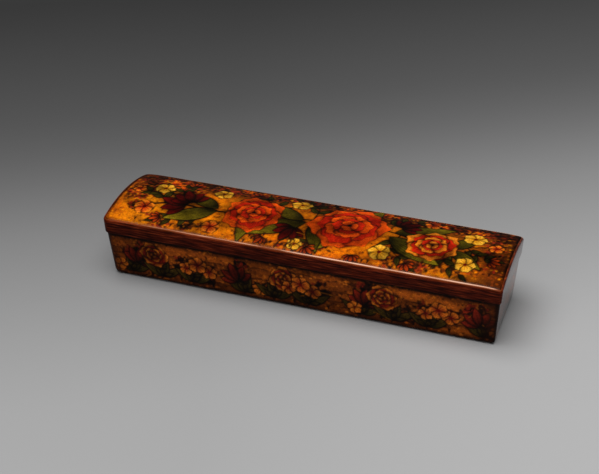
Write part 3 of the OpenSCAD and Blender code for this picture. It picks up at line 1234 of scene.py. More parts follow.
@dataclass
class PaintedLacquer(Finish):
    """Fine paint under old varnish, with a net of cracks and specks of age."""

    name: str
    crackle: float = 0.3
    gloss: float = 0.12
    coat: float = 0.2
    mottle: Tone = Tone(420.0, 5.0, MIDDLE, (0.8, 1.16))
    grain: Tone = Tone(1300.0, 3.0, (0.32, 0.68), (0.72, 1.28))
    speck: Tone = Tone(2200.0, 2.0, (0.6, 0.7), (1.0, 0.6))
    dullness: Tone = Tone(160.0, 4.0, MIDDLE, (0.38, 0.56))
    tooth: Relief = Relief(900.0, 3.0, 0.12, 0.0001)
    varnish_waves: Relief = Relief(90.0, 2.0, 0.2, 0.0003)
    crack_scale: float = 260.0
    crack_w: float = 0.035
    crack_shift: float = 0.0016

    def cracks(self, where: Socket) -> Socket:
        """Adds the net of cracks, which comes and goes over the surface.

        Args:
            where: Coordinates.

        Returns:
            How much of a crack shows.
        """
        shift = self.node("ShaderNodeTexNoise", vector=where, scale=300.0, detail=2.0)
        wander = self.mixed("LINEAR_LIGHT", self.crack_shift, where, shift.outputs["Color"])
        net = self.node("ShaderNodeTexVoronoi", feature="DISTANCE_TO_EDGE", vector=wander,
                        scale=self.crack_scale)
        crack = self.graded(net.outputs["Distance"], (0.0, self.crack_w), (1.0, 0.0))
        patches = Tone(scale=55.0, detail=2.0, span=(0.42, 0.62), gives=(0.0, self.crackle))
        return self.product(crack, self.tone(where, patches))

    def lay_out(self) -> None:
        """Adds the paint, its mottling and cracks, and the varnish."""
        where = self.coordinates()
        tones = [self.tone(where, tone) for tone in (self.mottle, self.grain, self.speck)]
        toned = self.shaded(self.attribute(PAINT, "Color"), *tones)
        toned = self.over(toned, Pigment.SOOT.value, self.cracks(where))
        _, normal = self.relief(where, self.tooth)
        self.surface(toned, self.tone(where, self.dullness), normal)
        _, waves = self.relief(where, self.varnish_waves)
        self.feed("Coat Normal", waves)
        self.varnish(self.coat, self.gloss)


@dataclass
class StreakedLacquer(Finish):
    """Brown lacquer with streaks along the board, a darker foot, and paler worn edges that also carry a
    painted highlight.
    """

    name: str
    run: Triple
    coat: float = 0.25
    gloss: float = 0.14
    grain: Relief = Relief(1100.0, 5.0, 0.25, 0.0002)
    streaks: tuple[tuple[float, Triple], ...] = (
        (0.32, (18, 3, 1)), (0.45, (64, 15, 4)), (0.57, (90, 27, 9)), (0.7, (136, 54, 24)))
    blotch: Tone = Tone(70.0, 3.0, MIDDLE, (0.7, 1.25))
    foot_z: Pair = (0.034, 0.043)
    foot_shade: Pair = (0.66, 1.12)
    patch: Tone = Tone(500.0, 5.0, (0.36, 0.64), (0.5, 1.04))
    thinned_and_sheen: Triple = (150, 74, 26)
    thinned_and_sheen_by: Pair = (0.0, 0.4)
    bared_and_highlight: Triple = (255, 206, 176)
    bared_and_highlight_by: Pair = (0.25, 0.8)
    dullness: Pair = (0.34, 0.52)

    def lay_out(self) -> None:
        """Adds the streaks, the darker foot, the worn edges with their painted highlight, and the varnish."""
        where, plain = self.coordinates(self.run), self.coordinates()
        streak, normal = self.relief(where, self.grain)
        toned = self.ramp(streak, [(place, rgba(colour)) for place, colour in self.streaks])
        foot = self.graded(self.along(plain, "Z"), self.foot_z, self.foot_shade)
        toned = self.shaded(toned, self.tone(plain, self.blotch), foot)
        # Wear and painted highlight along the arris: pinkish white on top, with a painted orange-brown sheen
        # below it
        rubbed_and_lit = self.product(self.attribute(WEAR_AND_HIGHLIGHT, "Fac"), self.tone(where, self.patch))
        toned = self.over(toned, self.thinned_and_sheen, self.graded(rubbed_and_lit, self.thinned_and_sheen_by))
        toned = self.over(toned, self.bared_and_highlight, self.graded(rubbed_and_lit, self.bared_and_highlight_by))
        self.surface(toned, self.graded(streak, MIDDLE, self.dullness), normal)
        self.varnish(self.coat, self.gloss)


@dataclass
class LiningLacquer(Finish):
    """Dull red lacquer with flecks of gold."""

    name: str = "lining_lacquer"
    deep: Triple = (96, 20, 13)
    pale: Triple = (142, 42, 24)
    worn: Pair = (0.35, 0.7)
    gold: Triple = (206, 150, 60)
    fleck_scale: float = 420.0
    fleck_edge: Pair = (0.12, 0.17)
    dullness: Pair = (0.36, 0.58)
    tooth: Relief = Relief(700.0, 4.0, 0.15, 0.0001)
    coat: float = 0.3
    gloss: float = 0.25

    def lay_out(self) -> None:
        """Adds the red, its wear, the flecks and the varnish."""
        where = self.coordinates()
        wear = self.noise(where, scale=130.0, detail=5.0)
        red = self.over(self.deep, self.pale, self.graded(wear, self.worn))
        fleck = self.node("ShaderNodeTexVoronoi", feature="F1", vector=where, scale=self.fleck_scale)
        gilt = self.graded(fleck.outputs["Distance"], self.fleck_edge, (1.0, 0.0))
        red = self.over(red, self.gold, gilt)
        _, normal = self.relief(where, self.tooth)
        self.surface(red, self.graded(wear, MIDDLE, self.dullness), normal)
        self.varnish(self.coat, self.gloss)


@dataclass
class BurnishedPaper(Finish):
    """Old buff paper with fibres and ink stains."""

    name: str = "burnished_paper"
    run: Triple = (1.0, 3.0, 1.0)
    fibres: Relief = Relief(900.0, 6.0, 0.3, 0.0001)
    buff: Triple = (176, 132, 74)
    pale: Triple = (206, 166, 104)
    ink: Triple = (66, 40, 24)
    stain: Tone = Tone(36.0, 5.0, (0.55, 0.75), (0.0, 0.75))
    roughness: float = 0.8

    def lay_out(self) -> None:
        """Adds the paper's fibres and stains."""
        fibre, normal = self.relief(self.coordinates(self.run), self.fibres)
        sheet = self.over(self.buff, self.pale, self.graded(fibre, MIDDLE))
        sheet = self.over(sheet, self.ink, self.tone(self.coordinates(), self.stain))
        self.surface(sheet, self.roughness, normal)


@dataclass
class AgedBrass(Finish):
    """Cast brass, darkened by handling."""

    name: str = "aged_brass"
    run: Triple = (1.0, 12.0, 1.0)
    scratches: Relief = Relief(500.0, 3.0, 0.12, 0.0001)
    bright: Triple = (222, 180, 104)
    dark: Triple = (138, 98, 48)
    tarnished: Pair = (0.35, 0.7)
    dullness: Pair = (0.24, 0.5)

    def lay_out(self) -> None:
        """Adds the metal, its tarnish and fine scratches."""
        tarnish = self.noise(self.coordinates(), scale=150.0, detail=6.0)
        tone = self.over(self.bright, self.dark, self.graded(tarnish, self.tarnished))
        _, normal = self.relief(self.coordinates(self.run), self.scratches)
        self.surface(tone, self.graded(tarnish, MIDDLE, self.dullness), normal)
        self.feed("Metallic", 1.0)


@dataclass
class DryReed(Finish):
    """Cut reed, with long fibres, dark knots and a nib dark with ink."""

    name: str = "dry_reed"
    run: Triple = (0.03, 1.0, 1.0)
    fibres: Relief = Relief(1500.0, 5.0, 0.25, 0.0001)
    dark: Triple = (112, 62, 26)
    pale: Triple = (184, 120, 58)
    knot: Triple = (58, 30, 14)
    knot_scale: float = 5.07
    knot_phase: float = 1.42
    knot_edge: Pair = (0.99, 1.0)
    knot_cover: float = 0.85
    ink: Triple = (18, 14, 12)
    ink_cover: float = 0.9
    nib_x: float = -0.1105
    inked: Pair = (0.010, 0.022)
    dullness: Pair = (0.3, 0.5)
    shine: float = 0.2

    def lay_out(self) -> None:
        """Adds the fibres, the knots, the sheen of the skin and the ink on the nib."""
        where = self.coordinates()
        fibre, normal = self.relief(self.coordinates(self.run), self.fibres)
        skin = self.over(self.dark, self.pale, self.graded(fibre, MIDDLE))
        bands = self.node("ShaderNodeTexWave", wave_type="BANDS", bands_direction="X", vector=where,
                          scale=self.knot_scale, phase_offset=self.knot_phase)
        knots = self.graded(bands.outputs["Fac"], self.knot_edge, (0.0, self.knot_cover))
        skin = self.over(skin, self.knot, knots)
        inked = (self.nib_x + self.inked[0], self.nib_x + self.inked[1])
        stain = self.graded(self.along(where, "X"), inked, (self.ink_cover, 0.0))
        skin = self.over(skin, self.ink, stain)
        self.surface(skin, self.graded(fibre, MIDDLE, self.dullness), normal)
        self.feed("Specular IOR Level", self.shine)


# Sub-assemblies of the box


class Side(Enum):
    """The four sides of the box, in the order in which they follow each other round it."""

    FRONT = "front"
    RIGHT = "right"
    BACK = "back"
    LEFT = "left"

    @property
    def is_long(self) -> bool:
        """Whether the side runs along the box."""
        return self in (Side.FRONT, Side.BACK)


@dataclass(frozen=True)
class Vault:
    """The curve of the lid's top, eased down a little at both ends.

    Attributes:
        half_l: Half the lid's length.
        half_w: Half its width.
        edge_z: Height of the vault's long edges.
        rise: How far its crown stands above them.
        ease_run: How far from the ends the easing starts.
        ease_drop: How far it brings the ends down.
    """

    half_l: float = 133.0
    half_w: float = 35.0
    edge_z: float = 43.5
    rise: float = 5.8
    ease_run: float = 14.0
    ease_drop: float = 0.8

    @property
    def radius(self) -> float:
        """Radius of the vault."""
        return (self.half_w**2 + self.rise**2) / (2 * self.rise)

    def top(self, x: np.ndarray, y: np.ndarray, under: float = 0.0) -> np.ndarray:
        """Gives the height of the vault.

        Args:
            x: Places along the box.
            y: Places across it.
            under: How far inside the vault's surface.

        Returns:
            The heights.
        """
        axis = self.edge_z + self.rise - self.radius
        end = np.clip((np.abs(x) - self.half_l + self.ease_run) / self.ease_run, 0, 1)
        return axis + np.sqrt((self.radius - under) ** 2 - y**2) - self.ease_drop * end**2


@dataclass(frozen=True)
class Ring:
    """A rectangle whose sides lean, with its own radius at each corner.

    Attributes:
        low: Half length, half width and height of its lower outline.
        high: The same of its upper outline.
        corners: Radii at the front left, front right, back right and back left.
        ARC_STEPS: Divisions of a rounded corner.
    """

    low: Triple
    high: Triple
    corners: Quad

    ARC_STEPS = 8

    def corner(self, side: Side, place: np.ndarray) -> np.ndarray:
        """Gives the radius of the upright corner that each division of a side runs to.

        Args:
            side: The side.
            place: The divisions' places along it, -1 to 1.

        Returns:
            The radii, graded from one corner of the side to the other.
        """
        first = list(Side).index(side)
        ends = (self.corners[first], self.corners[(first + 1) % len(self.corners)])
        return np.interp(place, (-1, 1), ends)

    def halves(self, z: np.ndarray) -> tuple[np.ndarray, np.ndarray]:
        """Half length and half width at a height.

        Args:
            z: The heights.

        Returns:
            The two half sizes.
        """
        t = (z - self.low[2]) / (self.high[2] - self.low[2])
        half_l, half_w = (low + t * (high - low) for low, high in zip(self.low[:2], self.high[:2]))
        return half_l, half_w

    def stretch(self, side: Side, pitch: float) -> tuple[np.ndarray, np.ndarray]:
        """Divides the stretch of outline that one board covers.

        Args:
            side: The board's side. A long board takes in both its corners.
            pitch: Distance between the divisions.

        Returns:
            For each division, the place along the straight part from -1 to 1, and the turn in degrees from
            the side's own outward direction.
        """
        half = self.high[0] if side.is_long else self.high[1]
        straight = np.linspace(-1, 1, max(2, round(2 * (half - max(self.corners)) / pitch)) + 1)
        if not side.is_long:
            return straight, np.zeros_like(straight)
        arc = np.linspace(90, 0, self.ARC_STEPS + 1)[:-1]
        place = np.concatenate([-np.ones(len(arc)), straight, np.ones(len(arc))])
        turn = np.concatenate([-arc, np.zeros_like(straight), arc[::-1]])
        return place, turn

    def points(self, side: Side, pitch: float, section: np.ndarray) -> np.ndarray:
        """Carries a section along one side.

        Args:
            side: Which side.
            pitch: Distance between the divisions along it.
            section: Inset and height of each point of the section, in millimetres.

        Returns:
            The points, by section point and then along the side.
        """
        place, turn = self.stretch(side, pitch)
        corner = self.corner(side, place)[None, :]
        inset, z = section[:, 0:1], section[:, 1:2]
        half_l, half_w = self.halves(z)
        run, reach = (half_l, half_w) if side.is_long else (half_w, half_l)
        radius = corner - inset
        t = np.radians(turn)[None, :]
        along = place[None, :] * (run - corner) + radius * np.sin(t)
        out = reach - corner + radius * np.cos(t)
        straight = turn[None, :] == 0
        out = np.where(straight, reach - inset, out)
        inner = inset >= corner
        along = np.where(inner, place[None, :] * (run - inset), along)
        out = np.where(inner, reach - inset, out)
        x, y = {Side.FRONT: (along, -out), Side.BACK: (-along, out), Side.RIGHT: (out, along),
                Side.LEFT: (-out, -along)}[side]
        return np.stack([x, y, np.broadcast_to(z, x.shape)], axis=-1)


class Assembly(ABC):
    """A sub-assembly that shapes meshes and makes finished pieces of them.

    Attributes:
        WELD: Distance in metres within which vertices are merged.
        CREASE: Angle in degrees over which an edge looks sharp.
    """

    WELD = 1e-6
    CREASE = 38.0

    @abstractmethod
    def build(self) -> None:
        """Builds the sub-assembly's pieces."""

    @staticmethod
    def sheet(points: np.ndarray) -> Mesh:
        """Shapes a sheet of faces over a net of points.

        Args:
            points: The points in millimetres, in rows.

        Returns:
            The sheet.
        """
        rows, columns = points.shape[:2]
        bm = bmesh.new()
        bmesh.ops.create_grid(bm, x_segments=columns - 1, y_segments=rows - 1, size=1.0)
        for vert in bm.verts:
            i = round((vert.co.x + 1) / 2 * (columns - 1))
            j = round((vert.co.y + 1) / 2 * (rows - 1))
            vert.co = points[j, i] * MM
        return bm

    @classmethod
    def swept(cls, points: np.ndarray) -> Mesh:
        """Closes a swept section into a solid board.

        Args:
            points: The section's points along the sweep; the last row meets the first.

        Returns:
            The board.
        """
        bm = cls.sheet(points)
        bmesh.ops.remove_doubles(bm, verts=bm.verts[:], dist=cls.WELD)
        open_edges = [edge for edge in bm.edges if edge.is_boundary]
        bmesh.ops.holes_fill(bm, edges=open_edges, sides=0)
        bmesh.ops.recalc_face_normals(bm, faces=bm.faces[:])
        return bm

    @classmethod
    def piece(cls, name: str, bm: Mesh, finish: Finish, body: str, slot: str, node: str) -> Piece:
        """Makes a finished piece from a mesh.

        Args:
            name: The piece's name.
            bm: Its mesh, which is freed.
            finish: What it wears.
            body: The body that it rides on.
            slot: Its material slot, which is not used.
            node: The node that it stands for.

        Returns:
            The piece.
        """
        mesh = bpy.data.meshes.new(name)
        bm.to_mesh(mesh)
        bm.free()
        mesh.materials.append(finish.material())
        mesh.shade_smooth()
        mesh.set_sharp_from_angle(angle=math.radians(cls.CREASE))
        made = put(name, mesh)
        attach(made, body)
        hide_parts(node)
        LOG.info("%s: %d faces", name, len(mesh.polygons))
        return made

    @staticmethod
    def places(made: Piece) -> np.ndarray:
        """Reads the vertices of a piece, in millimetres.

        Args:
            made: The piece.

        Returns:
            One row for each vertex.
        """
        flat = np.empty(len(made.data.vertices) * 3)
        made.data.vertices.foreach_get("co", flat)
        return flat.reshape(-1, 3) / MM

    @staticmethod
    def tint(made: Piece, colours: np.ndarray) -> None:
        """Lays the painter's colours on a piece's vertices.

        Args:
            made: The piece.
            colours: One linear colour for each vertex.
        """
        layer = made.data.color_attributes.new(PAINT, "FLOAT_COLOR", "POINT")
        full = np.ones((len(colours), 4))
        full[:, :3] = np.clip(colours, 0, 1)
        layer.data.foreach_set("color", full.ravel())

    @staticmethod
    def rub(made: Piece, amount: np.ndarray) -> None:
        """Marks how worn each vertex of a piece is, 0 to 1; on the rim this also holds a painted highlight.
        """
        layer = made.data.attributes.new(WEAR_AND_HIGHLIGHT, "FLOAT", "POINT")
        layer.data.foreach_set("value", amount)


@dataclass
class LidPanel(Assembly):
    """The painted vaulted panel, let into the rim.

    Attributes:
        vault: The curve that it follows.
        room: Gap between its edge and the rim.
        corners: Radii at the front left, front right, back right and back left.
        thick: Its thickness.
        pitch: Distance between the points of its upper face.
        edge: Radius of its upper edge.
        down: How far down the normal of a face underneath points, at least.
        flat: Angle in degrees under which faces underneath are joined.
        painted: How far down from its top the paint goes.
    """

    vault: Vault
    room: float = 0.15
    corners: Quad = (3.6, 1.2, 3.6, 3.6)
    thick: float = 3.0
    pitch: float = 0.5
    edge: float = 0.35
    down: float = -0.5
    flat: float = 1.2
    painted: float = 1.0

    def upper(self) -> np.ndarray:
        """Lays out the panel's upper face, with rounded corners and a rounded edge.

        Returns:
            The points in millimetres, in rows.
        """
        half_l, half_w = (half - RIM_EDGE - self.room for half in (self.vault.half_l, self.vault.half_w))
        columns, rows = (round(2 * half / self.pitch) + 1 for half in (half_l, half_w))
        a, y = np.meshgrid(np.linspace(-1, 1, columns), np.linspace(-half_w, half_w, rows))
        front_left, front_right, back_right, back_left = self.corners
        corner = np.where(y < 0, np.where(a < 0, front_left, front_right),
                          np.where(a < 0, back_left, back_right))
        over = np.clip(np.abs(y) - (half_w - corner), 0, corner)
        x = a * (half_l - corner + np.sqrt(corner**2 - over**2))
        inset = np.minimum(half_l - np.abs(x), half_w - np.abs(y))
        droop = self.edge * (1 - np.sqrt(1 - np.clip(1 - inset / (2 * self.edge), 0, 1) ** 2))
        return np.stack([x, y, self.vault.top(x, y) - droop], axis=-1)

    def thickened(self, bm: Mesh) -> Mesh:
        """Gives the panel its thickness, and joins the faces underneath that are nearly flat.

        Args:
            bm: The upper face.

        Returns:
            The closed panel.
        """
        bm.normal_update()
        raised = bmesh.ops.extrude_face_region(bm, geom=bm.faces[:])
        for vert in [g for g in raised["geom"] if isinstance(g, bmesh.types.BMVert)]:
            vert.co.z = float(self.vault.top(vert.co.x / MM, vert.co.y / MM, self.thick)) * MM
        bmesh.ops.recalc_face_normals(bm, faces=bm.faces[:])
        under, within = [
            [part for part in parts if all(face.normal.z < self.down for face in part.link_faces)]
            for parts in (bm.verts, bm.edges)]
        bmesh.ops.dissolve_limit(bm, angle_limit=math.radians(self.flat), use_dissolve_boundaries=False,
                                 verts=under, edges=within)
        return bm

    def build(self) -> None:
        """Builds and paints the panel."""
        bm = self.thickened(self.sheet(self.upper()))
        finish = PaintedLacquer("lid_paint", coat=0.12)
        made = self.piece("lid_panel_painted", bm, finish, "lid", "lacquer_amber", "lid_panel")
        at = self.places(made)
        colours = LidGarden(self.vault.half_l, self.vault.half_w).paint().at(at[:, 0], at[:, 1])
        hidden = at[:, 2] < self.vault.top(at[:, 0], at[:, 1]) - self.painted
        colours[hidden] = Pigment.LINING.linear
        self.tint(made, colours)


@dataclass
class LidRim(Assembly):
    """The four boards of the lid's rim.

    Attributes:
        vault: The curve that their upper edges follow.
        low_z: Height of the parting line.
        lean: How far the ends and the long sides lean in on their way down.
        corners: Radii of the upright corners.
        edge: Width of their upper edge.
        arris: Radius of the upper arris.
        foot: Radius of the lower arris.
        inner: Thickness of the boards.
        rebate: Depth of the rebate for the panel.
        pitch: Distance between the divisions along a board.
        arc_rows: Points of the upper arris; the lower one takes every third.
        side_rows: Points between the two arrises.
        side_ends: How far from the parting line and from the upper edge those points stop.
        wear_and_highlight_bands: Shares of the wear and painted highlight, each with the depths under the
            vault where it starts and is full.
        long_wear_and_highlight: Wear and painted highlight of the long boards at the left.
        wear_and_highlight_gains: What is added along them, each with the places where it starts and is full.
        end_wear_and_highlight: Wear and painted highlight of the end boards.
        corner_wear_and_highlight: What is left of the wear and painted highlight at the corners.
        corner_run: The places along the box where the wear and painted highlight are least and full again.
    """

    vault: Vault
    low_z: float = PARTING_Z
    lean: Pair = (0.5, 0.6)
    corners: Quad = CORNERS
    edge: float = RIM_EDGE
    arris: float = 1.4
    foot: float = 0.4
    inner: float = 4.55
    rebate: float = 3.2
    pitch: float = 1.0
    arc_rows: int = 7
    side_rows: int = 6
    side_ends: Pair = (1.2, 2.2)
    wear_and_highlight_bands: tuple[Triple, ...] = ((0.16, 0.9, 0.45), (0.84, 0.27, 0.07))
    long_wear_and_highlight: float = 0.3
    wear_and_highlight_gains: tuple[Triple, ...] = ((0.22, -105, -75), (0.24, -40, 40))
    end_wear_and_highlight: float = 0.22
    corner_wear_and_highlight: float = 0.4
    corner_run: Pair = (131.5, 126.0)

    def section(self) -> np.ndarray:
        """The section of a rim board: inset, height, and how much of the vault's rise is added.

        Returns:
            The points, the last one meeting the first.
        """
        z = self.vault.edge_z
        turns = np.radians(np.linspace(0, 90, self.arc_rows))
        arris = [(self.arris * (1 - math.cos(t)), z - self.arris * (1 - math.sin(t)), 1.0) for t in turns]
        foot = [(self.foot * (1 - math.sin(t)), self.low_z + self.foot * (1 - math.cos(t)), 0.0)
                for t in turns[::3]]
        rows = np.linspace(self.low_z + self.side_ends[0], z - self.side_ends[1], self.side_rows)
        side = [(0.0, h, 0.0) for h in rows]
        return np.array([(self.inner, self.low_z, 0.0), *foot, *side, *arris, (self.edge, z, 1.0),
                         (self.edge, z - self.rebate, 1.0), (self.inner, z - self.rebate, 1.0),
                         (self.inner, self.low_z, 0.0)])

    def wear(self, side: Side, at: np.ndarray, top: np.ndarray) -> np.ndarray:
        """Says how worn each point is, with a painted highlight along the arris: least at the left and on the
        end boards.

        Args:
            side: The board's side.
            at: The board's points.
            top: Height of the vault above each of them.

        Returns:
            The wear, 0 to 1.
        """
        x, drop = at[:, 0], top - at[:, 2]
        rounded = sum(share * smooth(start, full, drop) for share, start, full in self.wear_and_highlight_bands)
        strength = self.end_wear_and_highlight
        if side.is_long:
            strength = self.long_wear_and_highlight
            for gain, start, full in self.wear_and_highlight_gains:
                strength = strength + gain * smooth(start, full, x)
        inwards = smooth(*self.corner_run, np.abs(x))
        return rounded * strength * (self.corner_wear_and_highlight + (1 - self.corner_wear_and_highlight) * inwards)

    def build(self) -> None:
        """Builds the four boards."""
        v = self.vault
        ring = Ring((v.half_l - self.lean[0], v.half_w - self.lean[1], self.low_z),
                    (v.half_l, v.half_w, v.edge_z), self.corners)
        section = self.section()
        along = StreakedLacquer("rim_lacquer_long", (0.07, 1.0, 1.0), coat=0.1)
        across = StreakedLacquer("rim_lacquer_end", (1.0, 0.2, 1.0), coat=1.0)
        for side in Side:
            points = ring.points(side, self.pitch, section[:, :2])
            lift = v.top(points[..., 0], np.clip(points[..., 1], -v.half_w, v.half_w)) - v.edge_z
            points[..., 2] += lift * section[:, 2:3]
            finish = along if side.is_long else across
            name = f"lid_{side.value}_rim"
            piece = self.piece(name + "_lacquered", self.swept(points), finish, "lid", "lacquer_rim", name)
            at = self.places(piece)
            top = v.top(at[:, 0], np.clip(at[:, 1], -v.half_w, v.half_w))
            # The wear of the arris, together with its painted highlight
            self.rub(piece, self.wear(side, at, top))


@dataclass
class BaseWalls(Assembly):
    """The four painted walls of the base.

    Attributes:
        top: Half length and half width at the parting line.
        lean: How far the ends and the long sides lean in on their way down.
        height: Height of the parting line.
        corners: Radii of the upright corners.
        wall: Thickness of the walls.
        foot: Radius of the lower arris.
        brim: Radius of the upper arris.
        arc_rows: Points of the lower arris; the upper one takes every other.
        pitch: Distance between the points of a wall.
        bare: How far from its upper and lower edge a wall is left plain.
        first_seed: Start of the front wall's own chance; the next walls count on from it.
    """

    top: Pair = (131.7, 33.6)
    lean: Pair = (2.0, 4.4)
    height: float = PARTING_Z
    corners: Quad = CORNERS
    wall: float = 4.0
    foot: float = 3.0
    brim: float = 0.35
    arc_rows: int = 6
    pitch: float = 0.5
    bare: float = 0.2
    first_seed: int = 20

    def section(self) -> np.ndarray:
        """The section of a wall: inset and height.

        Returns:
            The points, the last one meeting the first.
        """
        turns = np.radians(np.linspace(0, 90, self.arc_rows))
        foot = [(self.foot * (1 - math.sin(t)), self.foot * (1 - math.cos(t))) for t in turns]
        rows = round((self.height - self.foot - self.brim) / self.pitch)
        side = [(0.0, h) for h in np.linspace(self.foot, self.height - self.brim, rows)[1:-1]]
        brim = [(self.brim * (1 - math.cos(t)), self.height - self.brim * (1 - math.sin(t)))
                for t in turns[::2]]
        return np.array([*foot, *side, *brim, (self.wall, self.height), (self.wall, 0.0), foot[0]])

    def build(self) -> None:
        """Builds and paints the four walls."""
        ring = Ring((self.top[0] - self.lean[0], self.top[1] - self.lean[1], 0.0), (*self.top, self.height),
                    self.corners)
        section = self.section()
        along = ("wall", self.top[0], PaintedLacquer("wall_paint", crackle=0.2, gloss=0.16, coat=0.1))
        across = ("end", self.top[1], PaintedLacquer("end_paint", crackle=0.2, gloss=0.16, coat=1.0))
        for number, side in enumerate(Side):
            bm = self.swept(ring.points(side, self.pitch, section))
            kind, half, finish = along if side.is_long else across
            node = f"base_{side.value}_{kind}"
            piece = self.piece(node + "_painted", bm, finish, "base", "lacquer_dark", node)
            x, y, z = self.places(piece).T
            run = {Side.FRONT: x, Side.BACK: -x, Side.RIGHT: y, Side.LEFT: -y}[side]
            colours = WallFrieze(half, self.height, self.first_seed + number).paint().at(run, z)
            colours[(z > self.height - self.bare) | (z < self.bare)] = Pigment.UMBER.linear
            self.tint(piece, colours)


@dataclass
class InkWell(Assembly):
    """The turned ink pot and its hinged cover.

    Attributes:
        x: Place of the pot's axis along the box.
        hinge: Place along the box and height of the hinge's axis.
        knuckle: Radius of the ears and of the cover's knuckle.
        knuckle_w: Width of the knuckle.
        ear: Distance of an ear from the middle, and its width.
        ear_foot: Height that the ears run down to, inside the pot's top.
        strap: How far the knuckle's strap runs over the cover, and its lower and upper height.
        chamfer: How near to the hinge's axis the cut under the knuckle's outer corner starts.
        steps: Divisions around the pot.
        arc_rows: Points of a lug's round part.
        pot: The pot's profile, as radius and height from the axis round to the axis again.
        cover: The cover's profile.
    """

    x: float = 102.975
    hinge: Pair = (91.475, 23.5)
    knuckle: float = 1.7
    knuckle_w: float = 6.0
    ear: Pair = (4.2, 2.0)
    ear_foot: float = 20.9
    strap: Triple = (4.5, 21.8, 22.9)
    chamfer: float = 0.6
    steps: int = 72
    arc_rows: int = 13
    pot: tuple[Pair, ...] = (
        (0, 4.6), (17.0, 4.6), (17.6, 4.9), (17.6, 6.0), (17.0, 6.5), (16.7, 7.4), (17.4, 9.5), (18.3, 12.5),
        (18.8, 15.5), (18.9, 17.6), (18.5, 18.4), (19.0, 18.8), (19.0, 19.6), (18.4, 20.1), (18.2, 21.0),
        (17.4, 21.6), (16.2, 21.6), (16.0, 21.3), (15.4, 21.3), (15.2, 21.6), (8.6, 21.6), (8.0, 21.1),
        (8.0, 20.1), (16.9, 19.3), (17.2, 12.0), (16.0, 7.6), (14.4, 6.4), (0, 6.1))
    cover: tuple[Pair, ...] = (
        (0, 21.8), (9.2, 21.8), (9.6, 22.1), (9.6, 22.6), (9.2, 22.9), (8.4, 22.9), (8.1, 22.6), (7.6, 22.6),
        (7.3, 22.95), (4.0, 23.15), (0, 23.2))

    def turned(self, profile: Sequence[Pair]) -> Mesh:
        """Turns a profile around the pot's axis into a closed shell.

        Args:
            profile: Radius and height of each point, from the axis round to the axis again.

        Returns:
            The shell.
        """
        bm = bmesh.new()
        verts = [bm.verts.new(((self.x + r) * MM, 0.0, z * MM)) for r, z in profile]
        edges = [bm.edges.new(pair) for pair in zip(verts[:-1], verts[1:])]
        bmesh.ops.spin(bm, geom=[*verts, *edges], cent=(self.x * MM, 0.0, 0.0), axis=(0.0, 0.0, 1.0),
                       dvec=(0.0, 0.0, 0.0), angle=2 * math.pi, steps=self.steps, use_merge=True)
        bmesh.ops.remove_doubles(bm, verts=bm.verts[:], dist=self.WELD)
        return bm

    def lug(self, bm: Mesh, middle: float, width: float, foot: Sequence[Pair]) -> None:
        """Adds a lug that is round above the hinge and runs down to its foot.

        Args:
            bm: The mesh that takes the lug.
            middle: Its place along the hinge.
            width: Its width along the hinge.
            foot: The points that close its outline under the round part.
        """
        x, z = self.hinge
        turns = np.radians(np.linspace(0, 180, self.arc_rows))
        outline = [(x + self.knuckle * math.cos(t), z + self.knuckle * math.sin(t)) for t in turns]
        start = (middle - width / 2) * MM
        face = bm.faces.new([bm.verts.new((a * MM, start, b * MM)) for a, b in (*outline, *foot)])
        raised = bmesh.ops.extrude_face_region(bm, geom=[face])
        moved = [g for g in raised["geom"] if isinstance(g, bmesh.types.BMVert)]
        bmesh.ops.translate(bm, verts=moved, vec=(0.0, width * MM, 0.0))

    def build(self) -> None:
        """Builds the pot with its two ears, and the cover with its knuckle."""
        x, z = self.hinge
        front, back = x - self.knuckle, x + self.knuckle
        pot, cover = self.turned(self.pot), self.turned(self.cover)
        for side in (-1, 1):
            self.lug(pot, side * self.ear[0], self.ear[1], ((front, self.ear_foot), (back, self.ear_foot)))
        reach, low, high = self.strap
        self.lug(cover, 0.0, self.knuckle_w, ((front, z - self.chamfer), (x - self.chamfer, z - self.knuckle),
                                              (x + reach, low), (x + reach, high), (back, high)))
        for name, bm, body in (("ink_pot", pot, "base"), ("ink_cover", cover, "cover")):
            bmesh.ops.recalc_face_normals(bm, faces=bm.faces[:])
            self.piece(name + "_turned", bm, AgedBrass(), body, "brass", name)


